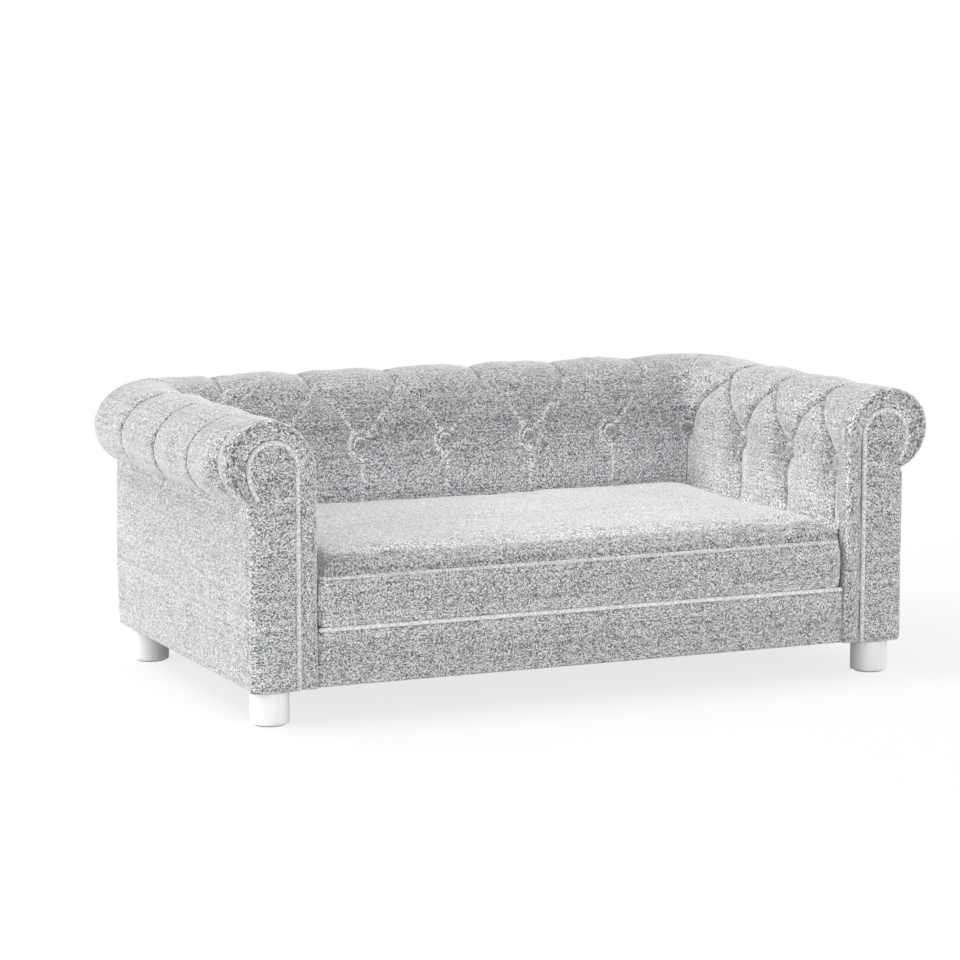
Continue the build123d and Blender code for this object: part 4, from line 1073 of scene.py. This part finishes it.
def seat_cushion():
    """The loose cushion: a boxing that is full between its seams, a rolled seam, and a top that rises
    steeply from the seam and is crowned in the middle; its underside is flat. Small puckers run from the
    seams, and the rear boxing has the zip's channel."""
    outline = cushion_ring(0.0, CUSHION_CORNER)
    around = lengths(outline)[:, None]
    tangent = np.roll(outline[:-1], -1, 0) - np.roll(outline[:-1], 1, 0)
    normal = joined(tangent[:, 1], -tangent[:, 0]) / np.linalg.norm(tangent, axis=1)[:, None]
    normal = np.concatenate([normal, normal[:1]])[:, None]
    pulls = ripple(outline[:, :1], outline[:, 1:], 0.030, 61)

    rise = np.concatenate([np.linspace(0, 0.12, 7), np.linspace(0.12, 0.88, 40)[1:-1],
                           np.linspace(0.88, 1, 8)])
    draw = FOOT_DRAW * (1 - rounded(rise, 0.08)) + SEAM_DRAW * np.exp(-(1 - rise) / 0.045)
    draw = draw - BOX_FULL * np.sin(HALF_TURN * rise) + BOX_DRAW
    box = cushion_rings(draw, CUSHION_CORNER + 0 * draw)
    z = CUSHION_LOW + (SEAM - CUSHION_LOW) * rise[None, :]
    tucks = 0.0007 * pulls * np.exp(-(1 - rise) * 0.06 / 0.009)
    soft = 0.0006 * ripple(outline[:, :1] + z, outline[:, 1:] - z, 0.07, 62)
    soft = soft * window(0.05, 0.3, 0.85, 1.0, rise)
    channel = zip_zone(outline, z, *CHANNEL_BAND)
    still = zip_zone(outline, z, *STILL_BAND)
    box = box + normal * ((tucks + soft) * (1 - still) - CHANNEL_DEPTH * channel)[..., None]
    boxing = raised(box, z)
    corner_gap = np.minimum(np.abs(np.abs(outline[:, :1]) - CUSHION_HALF), 1) + np.minimum(
        np.abs(outline[:, 1:] - CUSHION_FRONT), np.abs(CUSHION_REAR - outline[:, 1:]))
    # Painted shade in the zip's channel and a painted highlight at the front corners.
    tone = 0.35 * channel - 0.4 * bell(corner_gap, 0.004, 0.006) * (outline[:, 1:] < -0.2)

    share = np.linspace(0, 1, 46) ** 1.7
    inset = CROWN_REACH * share
    height = CROWN * (1 - np.exp(-inset / 0.0085) * 0.62 - 0.38 * (1 - np.sqrt(share)) ** 1.5)
    height = (height - height[0]) * (CROWN / (height[-1] - height[0]))
    drawn = cushion_rings(draw[-1] + inset, CUSHION_CORNER + 0.3 * inset)
    spine = np.clip(np.round(drawn[:, -1, 0] / SPINE_STEP) * SPINE_STEP, -SPINE_HALF, SPINE_HALF)
    spine = joined(spine, CUSHION_MIDDLE)
    top = closed_in(drawn, spine)
    swell = CROWN_SWELL * ease(0, 1, np.linspace(0, 1, 16)[1:])
    x, y = top[..., 0], top[..., 1]
    gap = np.minimum(CUSHION_HALF - np.abs(x), np.minimum(y - CUSHION_FRONT, CUSHION_REAR - y))
    fade = np.exp(-np.maximum(gap - 0.002, 0) / 0.022) * (1 - ease(0.05, 0.09, gap))
    tucks = pulls * 0.0009 * fade * ease(0.0, 0.004, gap - 0.001)
    sag = 0.0012 * ripple(x, y, 0.16, 63) * ease(0.01, 0.06, gap)
    full = REAR_FULL * bell(gap, 0.0075, 0.006) * ease(0.6, 1.0, normal[..., 1])
    swing = (tucks * 0.8 - 0.0006 * bell(gap, 0.004, 0.003) + full)[..., None] * normal
    top = top + swing * (1 - ease(0.01, 0.03, gap))[..., None]
    crown = raised(top, SEAM + np.concatenate([height, CROWN + swell]) + tucks + sag)
    crown[:, 0] = boxing[:, -1]
    run = lengths(joined(inset, height))
    spare = np.concatenate([run[-1] - run - (inset[-1] - inset), np.zeros(15)])
    crown_uv = (top + 0.5 + normal * spare[None, :, None]) * np.array([1.0, 0.75])
    # Painted shade on the crown's slope by the seam, a painted highlight over the top that is stronger
    # towards the left, and more painted highlight at the left front end.
    painted_light = 0.22 - (0.50 + 0.28 * (1 - ease(-0.34, -0.12, x))) * ease(0.016, 0.034, gap)
    painted_light = painted_light - 0.35 * (1 - ease(-0.357, -0.340, x)) * (1 - ease(0.03, 0.06, y - CUSHION_FRONT))

    flat = np.linspace(0, 1, 10)
    under = cushion_rings(FOOT_DRAW + BOX_DRAW + FLAT_REACH * flat, CUSHION_CORNER + 0.03 * flat)
    under = closed_in(under, spine)
    under[:, 0] = box[:, 0]
    base = raised(under, CUSHION_LOW)
    seams = np.broadcast_to((rise > 0.999) | (rise < 0.05), still.shape) | (still > 0)
    moves = swollen([boxing, crown, base], [seams, gap < -1, base[..., 2] > 0])
    boxing = boxing + moves[0] * (1 - still)[..., None]
    crown = crown + moves[1]
    crown[:, 0] = boxing[:, -1]
    patches = [patch(boxing, joined(around, z), tone), patch(crown, crown_uv, painted_light)]
    patches += flipped([patch(base, base[..., :2] + 1.5)])
    piece("cushion_cover_boxed", patches, "upholstery", body="seat_cushion", fill=0.85)

    line = cushion_ring(draw[-1] - 0.0004, CUSHION_CORNER) + normal[:, 0] * 0.0007 * pulls
    radius = SEAM_WELT_RADIUS + 0.0001 * np.sin(around / around[-1] * TURN * SEAM_WELT_PULLS)
    # The seam welt is the lighter piping linen with a slight painted highlight.
    welt = tube(raised(line, SEAM + 0.0004), raised(normal[:, 0], 0.0), (0, 0, 1), radius, circle(13), around,
                0.0014, -0.10)
    piece("cushion_seam_welt", [welt], "piping", body="seat_cushion")

    levels, draws = np.array(CORE_LEVELS).T
    rows = cushion_rings(draws, CUSHION_CORNER + 0.2 * draws)
    core = [patch(raised(rows, levels))]
    for row, order in ((0, -1), (-1, 1)):
        core.append(patch(raised(np.stack([rows[:, row], spine][::order], 1), levels[row])))
    piece("cushion_foam_core", core, "padding_foam", body="seat_cushion", fill=FOAM_FILL)


ZIP_LEVEL, TAPE_HALF, TAPE_LOW, TAPE_HIGH, TAPE_Y = 0.1453, 0.310, 0.1333, 0.1573, 0.1427
COIL_HALF, COIL_PITCH, COIL_REACH, COIL_Y, TOOTH_RADIUS = 0.3085, 0.0016, 0.0024, 0.1434, 0.00042


def zip_parts():
    """Zip in the rear boxing: a tape with a thicker edge on each side of the coil, and the coil's teeth,
    small bent loops that reach in from both tapes by turns."""
    x = np.linspace(-TAPE_HALF, TAPE_HALF, 160)[:, None]
    z = np.linspace(TAPE_LOW, TAPE_HIGH, 25)[None, :]
    from_middle = np.abs(z - ZIP_LEVEL)
    rib = 0.00012 * bell(from_middle, 0.0098, 0.0006) + 0.00012 * np.sin(x * 2100) * (from_middle > 0.003)
    tape = [patch(joined(x, TAPE_Y + rib, z), joined(x, z))]
    piece("zip_tape_woven", flipped(tape), "zip_tape", body="seat_cushion", wall=0.0006)
    angle, bend = circle(7), np.linspace(0, 1, 5)[:, None]
    radius = TOOTH_RADIUS * np.sqrt(1 - (2 * bend - 1) ** 4)
    y = COIL_Y + 0.0004 * np.sin(bend * HALF_TURN) + radius * np.sin(angle)
    teeth = []
    for n, place in enumerate(np.arange(-COIL_HALF, COIL_HALF + 0.0001, COIL_PITCH)):
        side = 1 if n % 2 else -1
        tooth = joined(place + radius * np.cos(angle), y, ZIP_LEVEL + side * COIL_REACH * (1 - 1.35 * bend))
        teeth.append(patch(tooth[::side]))
    piece("zip_coil_teeth", teeth, "zip_plastic", body="seat_cushion")


# Legs, stage, light and camera
LEG_X, LEG_FRONT, LEG_REAR = 0.416, -0.264, 0.1855
# A leg's section: radius and height, in millimetres
LEG_PROFILE = np.array([(0, 1.5), (17, 1.5), (21.0, 1.5), (22.2, 1.6), (23.2, 2.1), (23.8, 2.9), (24.0, 4.2),
                        (24.05, 12), (24.0, 24), (24.0, 40.2), (23.8, 41.0), (23.3, 41.3), (23.3, 41.8),
                        (23.8, 42.2), (24.0, 42.7), (24.0, 43.2), (22.0, 43.45), (0, 43.45)]) * MM


def turned(profile, x, y, count):
    """A profile of (radius, height) turned round an upright axis, with its ends closed at the axis."""
    angle = circle(count + 1).T
    radius, height = profile.T[:, None, :]
    points = joined(x + radius * np.cos(angle), y + radius * np.sin(angle), height)
    return patch(points, joined(angle * np.max(radius), lengths(profile)[None, :]))


def legs():
    """Turned legs: a plain drum with an eased rim at its foot and a fine shadow groove under its top."""
    for end, y in (("front", LEG_FRONT), ("rear", LEG_REAR)):
        for side, x in (("right", LEG_X), ("left", -LEG_X)):
            piece(f"leg_{end}_{side}_turned", [turned(LEG_PROFILE, x, y, 96)], "leg_wood")


def seen_ray(tree):
    """One for rays from the camera and in gloss and glass, else nought."""
    rays = tree.nodes.new("ShaderNodeLightPath").outputs
    total = rays["Is Camera Ray"]
    for name in ("Is Glossy Ray", "Is Transmission Ray"):
        most = tree.nodes.new("ShaderNodeMath")
        most.operation = "MAXIMUM"
        tree.links.new(total, most.inputs[0])
        tree.links.new(rays[name], most.inputs[1])
        total = most.outputs[0]
    return total


def stage():
    """A pale floor that keeps the soft shadow and fades to white, under a white surround."""
    finish = Finish("pale floor", Roughness=0.9, Specular_IOR_Level=0.1)
    finish.shader.inputs["Base Color"].default_value = shade(246)
    far = finish.node("VectorMath", {0: finish.place()}, output=1, operation="LENGTH")
    share = finish.times(seen_ray(finish.tree), finish.spread(far, 0.55, 1.5, 0.78, 1.0))
    glow = finish.node("Emission", {"Color": (1, 1, 1, 1), "Strength": 1.0})
    mixed = finish.node("MixShader", {0: share, 1: finish.shader.outputs[0], 2: glow})
    finish.tree.links.new(mixed, finish.tree.nodes["Material Output"].inputs["Surface"])
    mesh = bpy.data.meshes.new("floor")
    size, level = 14.0, -0.0003
    corners = [(-size, -size, level), (size, -size, level), (size, size, level), (-size, size, level)]
    mesh.from_pydata(corners, [], [(0, 1, 2, 3)])
    floor = bpy.data.objects.new("floor", mesh)
    mesh.materials.append(finish.material)
    bpy.context.collection.objects.link(floor)


def lamp(name, place, size, energy):
    """A soft square lamp that looks at the sofa."""
    light = bpy.data.lights.new(name, "AREA")
    light.shape = "SQUARE"
    light.size = size
    light.energy = energy
    made = bpy.data.objects.new(name, light)
    made.location = place
    made.rotation_euler = (Vector((0, 0, 0.2)) - Vector(place)).to_track_quat("-Z", "Y").to_euler()
    bpy.context.collection.objects.link(made)


def studio():
    """Even surround light that is white where it is seen, with soft lamps from the left, above, the front
    and the right."""
    world = bpy.data.worlds.new("surround")
    bpy.context.scene.world = world
    world.use_nodes = True
    tree = world.node_tree
    tree.nodes.clear()
    mixed = tree.nodes.new("ShaderNodeMixShader")
    tree.links.new(seen_ray(tree), mixed.inputs[0])
    for socket, strength in ((1, 0.50), (2, 1.0)):
        light = tree.nodes.new("ShaderNodeBackground")
        light.inputs["Color"].default_value = (1.0, 1.0, 1.0, 1.0)
        light.inputs["Strength"].default_value = strength
        tree.links.new(light.outputs[0], mixed.inputs[socket])
    out = tree.nodes.new("ShaderNodeOutputWorld")
    tree.links.new(mixed.outputs[0], out.inputs[0])
    lamp("left softbox", (-6.2, 1.0, 3.4), 2.6, 190)
    lamp("top softbox", (-1.7, 0.8, 2.9), 2.0, 50)
    lamp("front softbox", (0.6, -6.0, 1.6), 3.0, 98)
    lamp("right softbox", (5.4, 1.6, 3.4), 2.6, 62)


def camera():
    """The photograph's viewpoint: from the front left, a little above the seat."""
    view = bpy.data.cameras.new("camera")
    view.lens, view.sensor_width = 123.506, 36.0
    made = bpy.data.objects.new("camera", view)
    turn, tilt, distance = np.radians(-24.07), np.radians(7.81), 4.2953
    target = Vector((-0.03442, -0.030, 0.24542))
    back = Vector((np.sin(turn) * np.cos(tilt), -np.cos(turn) * np.cos(tilt), np.sin(tilt)))
    made.location = target + back * distance
    made.rotation_euler = (-back).to_track_quat("-Z", "Y").to_euler()
    bpy.context.collection.objects.link(made)
    bpy.context.scene.camera = made


camera()
studio()
stage()
tufted_covers()
buttons()
arm_fronts()
outside_covers()
rail_cover()
linings()
seat_cushion()
zip_parts()
legs()
bpy.context.scene.view_settings.view_transform = "Standard"
